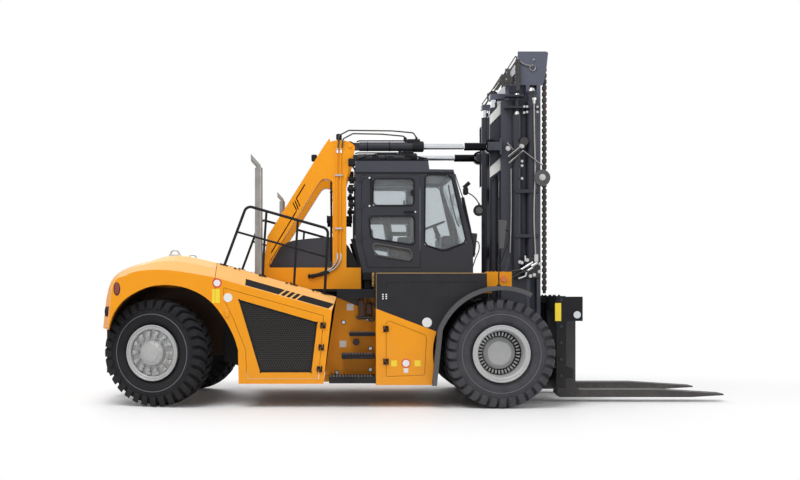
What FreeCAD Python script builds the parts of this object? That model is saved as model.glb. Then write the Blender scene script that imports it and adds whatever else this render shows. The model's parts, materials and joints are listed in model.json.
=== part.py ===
import FreeCAD, Part
import math
import os
import re
import Sketcher

# Heavy forklift truck. +X is the way the forks point, +Y the truck's left, +Z up.
# The origin lies on the ground, half-way along the truck from fork tips to counterweight. The front
# axle's place is set from it, and the rear axle, tail and fork tips follow from the front axle.

SIZES = {
    # whole truck
    "rear_overhang": 1095,
    "front_axle_x": 1250,
    "wheelbase": 5040,
    "fork_tip_reach": 3635,
    # tyres and rims
    "tyre_radius": 810,
    "tyre_width": 500,
    "tyre_shoulder": 45,
    "rim_radius": 400,
    "rim_wall": 22,
    "rim_lip": 22,
    "twin_gap": 60,
    "front_outer_face": 1720,
    "hub_radius": 235,
    "hub_recess": 250,
    "spindle_radius": 150,
    "axle_tube_radius": 170,
    "axle_bowl_radius": 240,
    # steering
    "kingpin_y": 1000,
    "kingpin_radius": 55,
    "steer_offset": 280,
    "steer_parked": 16.5,
    "steer_spindle_radius": 70,
    "steer_hub_radius": 130,
    "yoke_radius": 105,
    "yoke_height": 250,
    "yoke_plate": 50,
    "beam_width": 190,
    "beam_height": 200,
    "steer_arm": 210,
    "arm_plate": 45,
    "steer_rod_radius": 38,
    "steer_barrel_radius": 75,
    "steer_barrel_half": 330,
    # bodywork
    "body_half_width": 1600,
    "shoulder_half_width": 1350,
    "walkway_inner": 790,
    "panel_wall": 40,
    "seam_ahead": 815,
    "crease_rear_z": 1936,
    "crease_front_z": 1447,
    "shoulder_rear_z": 2157,
    "shoulder_front_z": 1645,
    "panel_front_x": -1244,
    "panel_foot_x": -1377,
    "shoulder_front_x": -1178,
    "skirt_z": 340,
    "arch_crown_z": 1823,
    "eye_foot_z": 2240,
    "spine_half_width": 330,
    # frame and deck
    "frame_y": 460,
    "frame_plate": 40,
    "frame_bottom": 450,
    "frame_top": 1730,
    "top_plate": 40,
    "deck_z": 1765,
    "deck_depth": 135,
    "deck_half_width": 1500,
    "recess_y": 1130,
    "bay_front_x": -590,
    "box_front_x": 1052,
    "box_top": 2000,
    "box_inner": 860,
    "fender_radius": 1000,
    "fender_lip": 65,
    "fender_sheet": 12,
    # gantry and tilt cylinders
    "gantry_inner": 520,
    "gantry_outer": 760,
    "tilt_pin_x": -969,
    "tilt_pin_z": 4020,
    "tilt_y": 640,
    "tilt_barrel_radius": 71,
    "tilt_rod_radius": 45,
    "tilt_pin_radius": 35,
    "tilt_eye_width": 98,
    "tilt_slot": 110,
    "tilt_eye_radius": 78,
    "rod_eye_bore": 80,
    "hose_radius": 11,
    "rod_eye_radius": 112,
    "tilt_lug_reach": 160,
    # hood and engine
    "hood_half_width": 500,
    "hood_rear_x": -2253,
    "hood_front_x": -1060,
    "hood_seat_z": 2105,
    "sheet": 30,
    # cab
    "cab_half_width": 850,
    "cab_wall": 50,
    "cab_floor_z": 2040,
    "cab_eaves_z": 3600,
    "cab_rear_x": -880,
    "cab_front_x": 953,
    "pane": 8,
    # mast
    "mast_back_x": 1425,
    "mast_half_width": 640,
    "mast_web": 40,
    "mast_flange": 60,
    "mast_flange_reach": 160,
    "mast_foot_wall": 74,
    "mast_foot_plate": 110,
    "mast_beam_low_z": 1750,
    "mast_beam_low_height": 240,
    "mast_beam_middle_z": 3240,
    "mast_beam_middle_height": 250,
    "mast_beam_lug_z": 3845,
    "mast_beam_lug_height": 455,
    "tilt_lug_half_height": 65,
    "tilt_cheek": 20,
    "outer_depth": 390,
    "outer_foot_z": 250,
    "outer_top_z": 4763,
    "inner_web_y": 400,
    "inner_back_gap": 15,
    "inner_front_x": 2060,
    "inner_foot_z": 300,
    "inner_rail_top": 5026,
    "inner_top_z": 5540,
    "inner_beam_z": 2300,
    "inner_beam_height": 200,
    "head_plate": 30,
    "sheave_bore": 30,
    "sheave_behind": 35,
    "chain_inset": 75,
    "chain_anchor_z": 4500,
    "lift_barrel_radius": 70,
    "lift_rod_radius": 50,
    "lift_rod_foot_z": 2200,
    "lift_cylinder_y": 430,
    "sheave_radius": 90,
    "sheave_z": 5280,
    "chain_width": 60,
    "chain_thickness": 24,
    # carriage and forks
    "carriage_back_x": 2160,
    "carriage_half_width": 1250,
    "carriage_top": 1660,
    "carriage_foot_z": 260,
    "carriage_bar_top": 560,
    "carriage_end_plate": 60,
    "carriage_post_inner": 330,
    "carriage_post_outer": 620,
    "shaft_x": 2470,
    "shaft_z": 1375,
    "shaft_radius": 55,
    "fork_y": 650,
    "fork_width": 280,
    "fork_thickness": 115,
    "fork_bottom": 75,
    "fork_tip_depth": 22,
    "shank_thickness": 150,
    # clearances
    "door_gap": 6,
    "knuckle_radius": 12,
    "knuckle_length": 45,
    "strap_length": 70,
    "bearing_gap": 0.3,
    "pin_gap": 0.3,
}

# Places worked out from the sizes above, as expressions of them.
PLACES = {
    "rear_axle_x": "front_axle_x - wheelbase",
    "tail_x": "rear_axle_x - rear_overhang",
    "tip_x": "front_axle_x + fork_tip_reach",
    "seam_x": "rear_axle_x + seam_ahead",
    "tyre_bore": "rim_radius",
    "inner_tyre_face": "front_outer_face - 2 * tyre_width - twin_gap",
    "outer_front_x": "mast_back_x + outer_depth",
    "inner_back_x": "mast_back_x + mast_flange + inner_back_gap",
    "flange_y": "mast_half_width - mast_web - 10",
    "sheave_x": "inner_front_x - sheave_behind",
    "shaft_face_x": "shaft_x - shank_thickness / 2 + 20",
    "frame_outer": "frame_y + frame_plate",
    "frame_deck": "frame_top + top_plate",
    "panel_end_x": "shoulder_front_x + 40",
    "mast_lug_x": "mast_back_x - tilt_lug_reach",
    "lift_seat_z": "tyre_radius + axle_bowl_radius + 15",
    "shoulder_slope": "(shoulder_front_z - shoulder_rear_z) / (shoulder_front_x - seam_x)",
    "crease_slope": "(crease_front_z - crease_rear_z) / (panel_front_x - seam_x)",
}

document = FreeCAD.newDocument("ForkliftTruck")
sheet = document.addObject("Spreadsheet::Sheet", "Sizes")
for row, (alias, number) in enumerate(SIZES.items(), start=1):
    sheet.set(f"A{row}", alias)
    sheet.set(f"B{row}", str(number))
    sheet.setAlias(f"B{row}", alias)
document.recompute()

nodes = []
WORD = re.compile(r"[a-z_][a-z_0-9]*")


def bound(text):
    """Turn a formula of sizes and places into an expression of the sheet's cells."""
    def swap(match):
        word = match.group(0)
        if word in PLACES:
            return "(" + bound(PLACES[word]) + ")"
        if word in SIZES:
            return "Sizes." + word
        return word
    return WORD.sub(swap, str(text))


def across(side, near, far):
    """Low and high places across the truck of a span given on the left side."""
    return (f"-({far})", f"-({near})") if side < 0 else (near, far)


def number(text):
    """The value of a formula, in millimetres or degrees."""
    if isinstance(text, (int, float)):
        return float(text)
    return float(sheet.evalExpression(bound(text)))


def bind(thing, path, text):
    """Tie a property to a formula, or set it where the formula is a plain number."""
    thing.setExpression(path, bound(text))


TURNS = {"X": (0, 1, 0), "Y": (1, 0, 0), "Z": (0, 0, 1)}


def place(thing, at, axis=(0, 0, 1), angle=0):
    """Stand a thing at a point, turned about an axis, both tied to the sheet."""
    thing.Placement = FreeCAD.Placement(
        FreeCAD.Vector(*(number(step) for step in at)),
        FreeCAD.Rotation(FreeCAD.Vector(*axis), number(angle)),
    )
    for letter, step in zip("xyz", at):
        bind(thing, f"Placement.Base.{letter}", step)
    if not isinstance(angle, (int, float)):
        bind(thing, "Placement.Rotation.Angle", angle)
    return thing


def box(name, low, high):
    """A block between two corners."""
    thing = document.addObject("Part::Box", name)
    for side, start, end in zip(("Length", "Width", "Height"), low, high):
        bind(thing, side, f"({end}) - ({start})")
    return place(thing, low)


def rod(name, axis, start, length, radius):
    """A round bar from a point along +X, +Y or +Z."""
    thing = document.addObject("Part::Cylinder", name)
    bind(thing, "Radius", radius)
    bind(thing, "Height", length)
    angle = {"X": 90, "Y": -90, "Z": 0}[axis]
    return place(thing, start, TURNS[axis], angle)


def outline(body, name, plane, loops):
    """A sketch on one of the body's own planes, each corner held by the sheet."""
    sketch = body.newObject("Sketcher::SketchObject", name)
    origin = [f for f in body.Origin.OriginFeatures if f.Role == plane][0]
    sketch.AttachmentSupport = (origin, [""])
    sketch.MapMode = "FlatFace"
    for loop in loops:
        points = [FreeCAD.Vector(number(u), number(v), 0) for u, v in loop]
        first = sketch.GeometryCount
        last = first + len(points) - 1
        for here, there in zip(points, points[1:] + points[:1]):
            sketch.addGeometry(Part.LineSegment(here, there), False)
        for edge in range(first, last):
            sketch.addConstraint(Sketcher.Constraint("Coincident", edge, 2, edge + 1, 1))
        sketch.addConstraint(Sketcher.Constraint("Coincident", last, 2, first, 1))
        for edge, (u, v) in enumerate(loop, start=first):
            for kind, formula in (("DistanceX", u), ("DistanceY", v)):
                index = sketch.addConstraint(
                    Sketcher.Constraint(kind, -1, 1, edge, 1, number(formula)))
                bind(sketch, f"Constraints[{index}]", formula)
    return sketch


EASE_STEPS = 4


def eased(points, straight_ends=False):
    """A smooth curve through the corners, as many short runs; its first and last runs may stay straight."""
    rounded = [points[0]]
    last = len(points) - 1
    for index in range(last):
        run = [points[max(index - 1, 0)], points[index], points[index + 1], points[min(index + 2, last)]]
        steps = 1 if straight_ends and index in (0, last - 1) else EASE_STEPS
        for step in range(1, steps + 1):
            t = step / steps
            weights = (
                (-t ** 3 + 2 * t ** 2 - t) / 2, (3 * t ** 3 - 5 * t ** 2 + 2) / 2,
                (-3 * t ** 3 + 4 * t ** 2 + t) / 2, (t ** 3 - t ** 2) / 2,
            )
            rounded.append(tuple(
                " + ".join(f"{weight:.5f} * ({corner[axis]})" for weight, corner in zip(weights, run))
                for axis in (0, 1)) if step < steps else points[index + 1])
    return rounded


def slab(name, plane, points, start, end, holes=()):
    """A flat outline, with any holes, thickened along the axis that its plane faces.

    The outlines are in (X, Z) for XZ, (Y, Z) for YZ and (X, Y) for XY.
    """
    body = document.addObject("PartDesign::Body", name)
    sketch = outline(body, name + "_outline", plane + "_Plane", [points, *holes])
    pad = body.newObject("PartDesign::Pad", name + "_pad")
    pad.Profile = sketch
    bind(pad, "Length", f"({end}) - ({start})")
    pad.Reversed = plane == "XZ"
    at = {"XZ": (0, start, 0), "YZ": (start, 0, 0), "XY": (0, 0, start)}[plane]
    return place(body, at)


def lofted(name, plane, sections):
    """A solid through several outlines on parallel planes, with straight sides between them."""
    body = document.addObject("PartDesign::Body", name)
    sketches = []
    for index, (offset, points) in enumerate(sections):
        sketch = outline(body, f"{name}_section_{index}", plane + "_Plane", [points])
        bind(sketch, "AttachmentOffset.Base.z", offset)
        sketches.append(sketch)
    loft = body.newObject("PartDesign::AdditiveLoft", name + "_loft")
    loft.Profile = sketches[0]
    loft.Sections = sketches[1:]
    loft.Ruled = True
    return body


def turned(name, points, at, axis=(0, 0, 1), angle=0):
    """A (radius, height) outline turned once about the Y axis through a point."""
    body = document.addObject("PartDesign::Body", name)
    sketch = outline(body, name + "_outline", "XY_Plane", [points])
    revolution = body.newObject("PartDesign::Revolution", name + "_turn")
    revolution.Profile = sketch
    revolution.ReferenceAxis = (sketch, ["V_Axis"])
    revolution.Angle = 360
    return place(body, at, axis, angle)


def joined(name, *things):
    thing = document.addObject("Part::MultiFuse", name)
    thing.Shapes = list(things)
    return thing


def cut(name, base, *tools):
    thing = document.addObject("Part::Cut", name)
    thing.Base = base
    thing.Tool = tools[0] if len(tools) == 1 else joined(name + "_tools", *tools)
    return thing


def mirrored(name, source):
    """The same thing on the other side of the truck."""
    thing = document.addObject("Part::Mirroring", name)
    thing.Source = source
    thing.Normal = FreeCAD.Vector(0, 1, 0)
    return thing


def node(name, thing):
    """Name a finished sub-part."""
    thing.Label = name
    nodes.append(thing)
    return thing


def node_pair(name, right):
    """One sub-part on the right and its mirror image on the left, each a node."""
    node(name + "_right", right)
    node(name + "_left", mirrored(name + "_other", right))


def both_sides(name, right):
    """A right-hand piece and its mirror image in one node."""
    pair = document.addObject("Part::Compound", name + "_pair")
    pair.Links = [right, mirrored(name + "_other", right)]
    return node(name, pair)


def tube_path(points, bend):
    """Straight runs through the points, joined by arcs that touch both runs."""
    corners = [FreeCAD.Vector(*point) for point in points]
    edges = []
    start = corners[0]
    for before, corner, after in zip(corners, corners[1:], corners[2:]):
        arrive = (corner - before).normalize()
        leave = (after - corner).normalize()
        turn = arrive.getAngle(leave)
        reach = bend * math.tan(turn / 2)
        first = corner - arrive * reach
        last = corner + leave * reach
        inward = (leave - arrive).normalize()
        middle = corner + inward * (bend / math.cos(turn / 2) - bend)
        edges.append(Part.LineSegment(start, first).toShape())
        edges.append(Part.Arc(first, middle, last).toShape())
        start = last
    edges.append(Part.LineSegment(start, corners[-1]).toShape())
    return Part.Wire(edges)


def tube(name, points, radius, bend):
    """A round bar or pipe bent along a route."""
    path = tube_path([[number(step) for step in point] for point in points], number(bend))
    first = path.OrderedEdges[0]
    ring = Part.Circle(first.valueAt(first.FirstParameter),
                       first.tangentAt(first.FirstParameter), number(radius))
    thing = document.addObject("Part::Feature", name)
    thing.Shape = path.makePipeShell([Part.Wire(ring.toShape())], True, False)
    return thing


# ---------------------------------------------------------------- frame

def build_frame():
    side = [
        ("seam_x", "frame_top"), ("seam_x", "frame_bottom + 180"),
        ("seam_x + 500", "frame_bottom"), ("front_axle_x - 250", "frame_bottom"),
        ("front_axle_x - 20", "tyre_radius - 170"), ("front_axle_x - 20", "tyre_radius + 170"),
        ("front_axle_x - 350", "frame_top"),
    ]
    right = slab("frame_side_right", "XZ", side, "-frame_y - frame_plate", "-frame_y")
    left = slab("frame_side_left", "XZ", side, "frame_y", "frame_y + frame_plate")
    top = box("frame_top_plate", ("seam_x", "-gantry_outer", "frame_top"),
              ("front_axle_x - 350", "gantry_outer", "frame_deck"))
    engine_hole = box("engine_hole", ("hood_rear_x + 60", "-hood_half_width + 60", "frame_top - 10"),
                      ("hood_front_x - 60", "hood_half_width - 60", "frame_deck + 10"))
    walls = [
        box(f"frame_wall_{label}", (start, "-frame_y", low), (f"{start} + frame_plate", "frame_y", high))
        for label, start, low, high in (
            ("rear", "seam_x", "frame_bottom + 250", "frame_top"),
            ("middle", "bay_front_x - 200", "frame_bottom + 40", "frame_top"),
            ("front", "front_axle_x - 500", "frame_bottom + 100", "frame_top"),
        )
    ]
    arms = [
        box(f"outrigger_{label}_{side_name}", (start, low, "frame_bottom + 700"),
            (f"{start} + 120", high, "frame_bottom + 850"))
        for label, start in (("bay", "bay_front_x + 20"), ("box", "bay_front_x + 780"))
        for side_name, low, high in (
            ("right", "-box_inner", "-frame_y"), ("left", "frame_y", "box_inner"))
    ]
    beams = [
        box(f"engine_beam_{index}", (x, "-frame_y", "frame_bottom + 280"),
            (f"{x} + 90", "frame_y", "frame_bottom + 400"))
        for index, x in enumerate(("hood_rear_x + 240", "hood_front_x - 330"))
    ]
    axle_hole = rod("axle_seat", "Y", ("front_axle_x", "-frame_y - 100", "tyre_radius"),
                    "2 * frame_y + 200", "axle_tube_radius")
    bowl_hole = rod("bowl_room", "Y", ("front_axle_x", "-frame_y + 60", "tyre_radius"),
                    "2 * frame_y - 120", "axle_bowl_radius + 20")
    whole = joined("frame_welded", right, left, top, *walls, *arms, *beams)
    node("chassis_frame", cut("frame_cut", whole, engine_hole, axle_hole, bowl_hole))


# ---------------------------------------------------------------- counterweight and tail

ARCH = [
    ("tail_x - 200", "skirt_z - 300"), ("tail_x - 200", "arch_crown_z - 666"),
    *eased([
        ("rear_axle_x - 772", "arch_crown_z - 666"), ("rear_axle_x - 690", "arch_crown_z - 420"),
        ("rear_axle_x - 500", "arch_crown_z - 190"), ("rear_axle_x - 149", "arch_crown_z - 20"),
        ("rear_axle_x + 221", "arch_crown_z - 8"), ("rear_axle_x + 530", "arch_crown_z - 100"),
        ("rear_axle_x + 769", "arch_crown_z - 266"), ("rear_axle_x + 961", "arch_crown_z - 518"),
        ("rear_axle_x + 1090", "arch_crown_z - 760"), ("rear_axle_x + 1154", "arch_crown_z - 962"),
    ]),
    ("rear_axle_x + 1169", "skirt_z - 300"),
]


def wheel_room(name):
    """The open space about each rear wheel, as a cutter on both sides."""
    right = slab(name + "_right", "XZ", ARCH, "-body_half_width - 50", "-spine_half_width - 10")
    left = slab(name + "_left", "XZ", ARCH, "spine_half_width + 10", "body_half_width + 50")
    return joined(name, right, left)


def swept_room(name, side):
    """The space that a rear wheel sweeps about its kingpin, outside the spine."""
    reach, top = "(steer_offset + tyre_width / 2)", "(tyre_radius + 10)"
    profile = [("0", f"-{top}"), (f"{reach} + 12", f"-{top}")]
    for share in (0, 0.3, 0.55, 0.75, 0.9, 1):
        profile.append((f"sqrt({reach} ^ 2 + {top} ^ 2 * {1 - share ** 2:.4f}) + 12", f"{top} * {share} + 8"))
    profile.append(("0", f"{top} + 8"))
    swept = turned(name + "_turn", profile, ("rear_axle_x", f"{side} * kingpin_y", "tyre_radius"),
                   (1, 0, 0), 90)
    low, high = ("-body_half_width", "-spine_half_width - 10")
    if side > 0:
        low, high = ("spine_half_width + 10", "body_half_width")
    keep = box(name + "_keep", ("tail_x", low, "0"), ("seam_x", high, "2 * tyre_radius + 100"))
    clipped = document.addObject("Part::MultiCommon", name)
    clipped.Shapes = [swept, keep]
    return clipped


def build_counterweight():
    bottom = "skirt_z + 760"
    rings = (
        ("body_half_width", [
            ("tail_x + 323", bottom), ("tail_x + 398", "1823"), ("tail_x + 585", "1965"),
            ("tail_x + 805", "2035"), ("tail_x + 1242", "2042"), ("seam_x", "crease_rear_z")]),
        ("body_half_width - 190", [
            ("tail_x + 256", bottom), ("tail_x + 338", "1798"), ("tail_x + 520", "2011"),
            ("tail_x + 826", "2135"), ("tail_x + 1270", "2185"), ("seam_x", "shoulder_rear_z - 84")]),
        ("body_half_width - 400", [
            ("tail_x + 195", bottom), ("tail_x + 295", "1750"), ("tail_x + 485", "2025"),
            ("tail_x + 867", "2192"), ("tail_x + 1293", "2276"), ("seam_x", "shoulder_rear_z")]),
        ("body_half_width - 720", [
            ("tail_x + 68", bottom), ("tail_x + 158", "1778"), ("tail_x + 365", "2052"),
            ("tail_x + 842", "2214"), ("tail_x + 1293", "2290"), ("seam_x", "shoulder_rear_z + 4")]),
        ("body_half_width - 1100", [
            ("tail_x", bottom), ("tail_x + 85", "1790"), ("tail_x + 285", "2060"),
            ("tail_x + 835", "2220"), ("tail_x + 1293", "2294"), ("seam_x", "shoulder_rear_z + 6")]),
    )
    rings = [(place_y, eased(ring) + [("seam_x", bottom)]) for place_y, ring in rings]
    right = list(rings)
    left = [(f"-({place_y})", ring) for place_y, ring in reversed(rings)]
    loft = lofted("weight_shell", "XZ", right + left)
    spine = slab("weight_spine", "XZ", [
        ("seam_x", "frame_bottom + 250"), ("rear_axle_x + 420", "frame_bottom + 250"),
        ("rear_axle_x + 300", "tyre_radius + 150"), ("rear_axle_x - 330", "tyre_radius + 150"),
        ("rear_axle_x - 600", "skirt_z + 80"), ("tail_x", "skirt_z + 80"),
        ("tail_x", bottom + " + 20"), ("seam_x", bottom + " + 20"),
    ], "-spine_half_width", "spine_half_width")
    slot = box("tow_slot", ("tail_x - 10", "-110", "skirt_z + 260"), ("tail_x + 110", "110", "skirt_z + 400"))
    hole = rod("tow_hole", "Z", ("tail_x + 55", "0", "skirt_z + 180"), "300", "26")
    upper = cut("weight_upper", loft, wheel_room("weight_wheel_room"),
                swept_room("weight_sweep_right", -1), swept_room("weight_sweep_left", 1),
                eye_foot("eye_pocket_right", -1), eye_foot("eye_pocket_left", 1))
    node("counterweight", cut("weight_cut", joined("weight_whole", upper, spine), slot, hole))
    node("tow_pin", rod("tow_bar", "Z", ("tail_x + 55", "0", "skirt_z + 190"), "280", "26 - pin_gap"))
    ring = document.addObject("Part::Torus", "eye_ring")
    bind(ring, "Radius1", "66")
    bind(ring, "Radius2", "14")
    place(ring, ("tail_x + 1195", "-900", "eye_foot_z + 65"), (1, 0, 0), 90)
    both_sides("lifting_eyes", joined("eye_whole", ring, eye_foot("eye_foot", -1)))


def eye_foot(name, side):
    """The foot of a lifting eye, and the pocket in the counterweight that it sits in."""
    low, high = across(side, "870", "930")
    return box(name, ("tail_x + 1105", low, "eye_foot_z - 30"), ("tail_x + 1285", high, "eye_foot_z + 62"))


# ---------------------------------------------------------------- side panels

def shoulder_z(x):
    """Height of the side panels' flat top at a place along the truck."""
    return f"(shoulder_rear_z + shoulder_slope * (({x}) - seam_x))"


def under_panel_top(name, low, high):
    """Everything below the sloping flat top of the side panels."""
    return slab(name, "XZ", [
        ("seam_x - 10", "frame_bottom"), ("seam_x - 10", shoulder_z("seam_x - 10")),
        ("panel_end_x", shoulder_z("panel_end_x")), ("panel_end_x", "frame_bottom"),
    ], low, high)


def panel_section(x, crease, shoulder):
    """One cross-section of the right-hand side panel, as (Y, Z) corners."""
    return x, [
        ("-body_half_width", "skirt_z + 20"), ("-body_half_width", crease),
        ("-shoulder_half_width", shoulder), ("-walkway_inner", shoulder),
        ("-walkway_inner", f"{shoulder} - panel_wall"),
        ("-shoulder_half_width - 8", f"{shoulder} - panel_wall"),
        ("-body_half_width + panel_wall", f"{crease} - 20"),
        ("-body_half_width + panel_wall", "skirt_z + 20"),
    ]


DOOR_FOOT = "skirt_z + 90"
PANEL_DOOR = [
    ("seam_x + 125", "crease_rear_z - 150"), ("panel_front_x - 121", "crease_front_z - 76"),
    ("panel_foot_x - 63", DOOR_FOOT), ("rear_axle_x + 1280", DOOR_FOOT),
    ("rear_axle_x + 1265", "arch_crown_z - 962"), ("rear_axle_x + 1070", "arch_crown_z - 470"),
    ("seam_x + 125", "arch_crown_z - 210"),
]
HINGE_TOP = ("panel_front_x - 121", "crease_front_z - 76")
HINGE_FOOT = ("panel_foot_x - 63", DOOR_FOOT)


def inset(points, gap):
    """The outline moved inwards by a gap on every side."""
    corners = [FreeCAD.Vector(number(u), number(v), 0) for u, v in points]
    around = sum(a.x * b.y - a.y * b.x for a, b in zip(corners, corners[1:] + corners[:1]))
    turn = math.copysign(1, around)
    moved = []
    for index, (u, v) in enumerate(points):
        arrive = (corners[index] - corners[index - 1]).normalize()
        leave = (corners[(index + 1) % len(corners)] - corners[index]).normalize()
        inward = FreeCAD.Vector(-arrive.y - leave.y, arrive.x + leave.x, 0) * turn
        inward = inward / (1 + arrive.dot(leave))
        moved.append((f"{u} + {inward.x:.4f} * {gap}", f"{v} + {inward.y:.4f} * {gap}"))
    return moved


def hinge_halves(name, x, z, skin, leaf_side, lean=0):
    """A hinge on a panel's face: the fixed half stands below the point, the hung half above it.

    The leaf is on the +X side of the point where leaf_side is 1 and on the -X side where it is -1.
    """
    line = f"-({skin}) - knuckle_radius - 2"
    lower_x = f"{x} - knuckle_length * sin({lean})"
    lower_z = f"{z} - knuckle_length * cos({lean})"
    halves = []
    for label, foot_x, foot_z, low, side in (
        ("fixed", lower_x, lower_z, lower_z, -leaf_side),
        ("hung", x, f"{z} + bearing_gap", f"{z} + 8", leaf_side),
    ):
        barrel = document.addObject("Part::Cylinder", f"{name}_{label}_knuckle")
        bind(barrel, "Radius", "knuckle_radius")
        bind(barrel, "Height", "knuckle_length")
        place(barrel, (foot_x, line, foot_z), (0, 1, 0), lean)
        near, far = (f"{x} + {side} * 2", f"{x} + {side} * strap_length")
        start, end = (near, far) if side > 0 else (far, near)
        strap = box(f"{name}_{label}_strap", (start, f"-({skin}) - 10", low),
                    (end, f"-({skin}) + 4", f"{low} + knuckle_length - 8"))
        halves.append(joined(f"{name}_{label}", barrel, strap))
    return halves


def build_side_panels():
    loft = lofted("panel_shell", "YZ", [
        panel_section("seam_x", "crease_rear_z", "shoulder_rear_z"),
        panel_section("panel_end_x", "(crease_rear_z + crease_slope * (panel_end_x - seam_x))",
                      shoulder_z("panel_end_x")),
    ])
    rear_wall = box("panel_rear_wall", ("rear_axle_x + 1172", "-body_half_width + panel_wall - 5",
                                        "skirt_z + 120"),
                    ("rear_axle_x + 1202", "-frame_outer", "arch_crown_z - 800"))
    front_wall = box("panel_front_wall", ("panel_foot_x - 60", "-body_half_width + panel_wall - 5",
                                          "skirt_z + 120"),
                     ("panel_foot_x - 30", "-frame_outer", "crease_front_z - 140"))
    nose = slab("panel_nose_cut", "XZ", [
        ("panel_foot_x", "skirt_z - 20"), ("panel_front_x", "crease_front_z"),
        ("shoulder_front_x", "shoulder_front_z"), ("shoulder_front_x + 10", "shoulder_front_z + 100"),
        ("shoulder_front_x + 300", "shoulder_front_z + 100"), ("shoulder_front_x + 300", "skirt_z - 20"),
    ], "-body_half_width - 10", "-walkway_inner + 10")
    arch = slab("panel_arch_cut", "XZ", ARCH, "-body_half_width - 10", "-frame_outer - 5")
    doorway = slab("panel_doorway", "XZ", PANEL_DOOR, "-body_half_width - 10",
                   "-body_half_width + panel_wall + 10")
    shell = joined("panel_whole", loft, rear_wall, front_wall)
    lean = f"atan(({HINGE_TOP[0]} - ({HINGE_FOOT[0]})) / ({HINGE_TOP[1]} - ({HINGE_FOOT[1]})))"
    hinges = [
        hinge_halves(f"panel_hinge_{index}",
                     f"({HINGE_TOP[0]}) * (1 - {share}) + ({HINGE_FOOT[0]}) * {share}",
                     f"({HINGE_TOP[1]}) * (1 - {share}) + ({HINGE_FOOT[1]}) * {share}",
                     "body_half_width", -1, lean)
        for index, share in enumerate((0.16, 0.5, 0.84))
    ]
    both_sides("side_panels", joined("panel_hinged", cut("panel_cut", shell, nose, arch, doorway),
                                     *[fixed for fixed, hung in hinges]))
    leaf = slab("panel_door_leaf", "XZ", inset(PANEL_DOOR, "door_gap"),
                "-body_half_width", "-body_half_width + panel_wall")
    grille = slab("panel_grille_pocket", "XZ", [
        ("seam_x + 355", "crease_rear_z - 335"), ("panel_front_x - 222", "crease_front_z - 180"),
        ("panel_foot_x - 178", "skirt_z + 195"), ("rear_axle_x + 1488", "skirt_z + 195"),
    ], "-body_half_width - 5", "-body_half_width + 18")
    node_pair("service_door", joined("panel_door_hung", cut("panel_door_cut", leaf, grille),
                                     *[hung for fixed, hung in hinges]))


# ---------------------------------------------------------------- steps, deck, front boxes

def build_steps_and_deck():
    wall = slab("bay_wall", "XZ", [
        ("panel_foot_x + 2", "skirt_z + 10"), ("bay_front_x", "skirt_z + 10"),
        ("bay_front_x", "deck_z - deck_depth"), ("shoulder_front_x", "deck_z - deck_depth"),
    ], "-recess_y - 30", "-recess_y")
    treads = [
        box(f"tread_{index}", (x, f"-({reach})", f"{z} - {depth}"), ("bay_front_x", "-recess_y - 25", z))
        for index, (x, z, depth, reach) in enumerate((
            ("bay_front_x - 695", "skirt_z + 120", 90, "body_half_width"),
            ("bay_front_x - 505", "skirt_z + 445", 60, "body_half_width - 110"),
            ("bay_front_x - 390", "skirt_z + 765", 45, "body_half_width - 190"),
        ))
    ]
    tie = box("bay_tie", ("bay_front_x - 200", "-recess_y - 5", "frame_bottom + 700"),
              ("bay_front_x - 80", "-frame_outer", "frame_bottom + 850"))
    both_sides("step_bays", joined("bay_whole", wall, tie, *treads))
    plate = box("deck_plate", ("shoulder_front_x + 5", "-deck_half_width", "deck_z - deck_depth"),
                ("bay_front_x", "-gantry_outer - 5", "deck_z"))
    hollow = box("deck_hollow", ("shoulder_front_x + 25", "-deck_half_width + 20", "deck_z - deck_depth - 5"),
                 ("bay_front_x - 20", "-gantry_outer - 25", "deck_z - 12"))
    rib = box("deck_rib", ("shoulder_front_x + 20", "-recess_y - 30", "deck_z - deck_depth"),
              ("bay_front_x - 15", "-recess_y", "deck_z - 6"))
    ledge = box("deck_ledge", ("shoulder_front_x + 5", "-gantry_outer - 20", "frame_top"),
                ("bay_front_x", "-gantry_outer", "frame_deck - 5"))
    both_sides("deck", joined("deck_whole", cut("deck_shell", plate, hollow), rib, ledge))


BOX_DOOR = [
    ("bay_front_x + 145", "skirt_z + 925"), ("bay_front_x + 205", "skirt_z + 951"),
    ("bay_front_x + 728", "skirt_z + 746"), ("bay_front_x + 750", "skirt_z + 718"),
    ("bay_front_x + 722", "skirt_z + 165"), ("bay_front_x + 700", "skirt_z + 145"),
    ("bay_front_x + 165", "skirt_z + 125"), ("bay_front_x + 145", "skirt_z + 145"),
]


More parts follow.
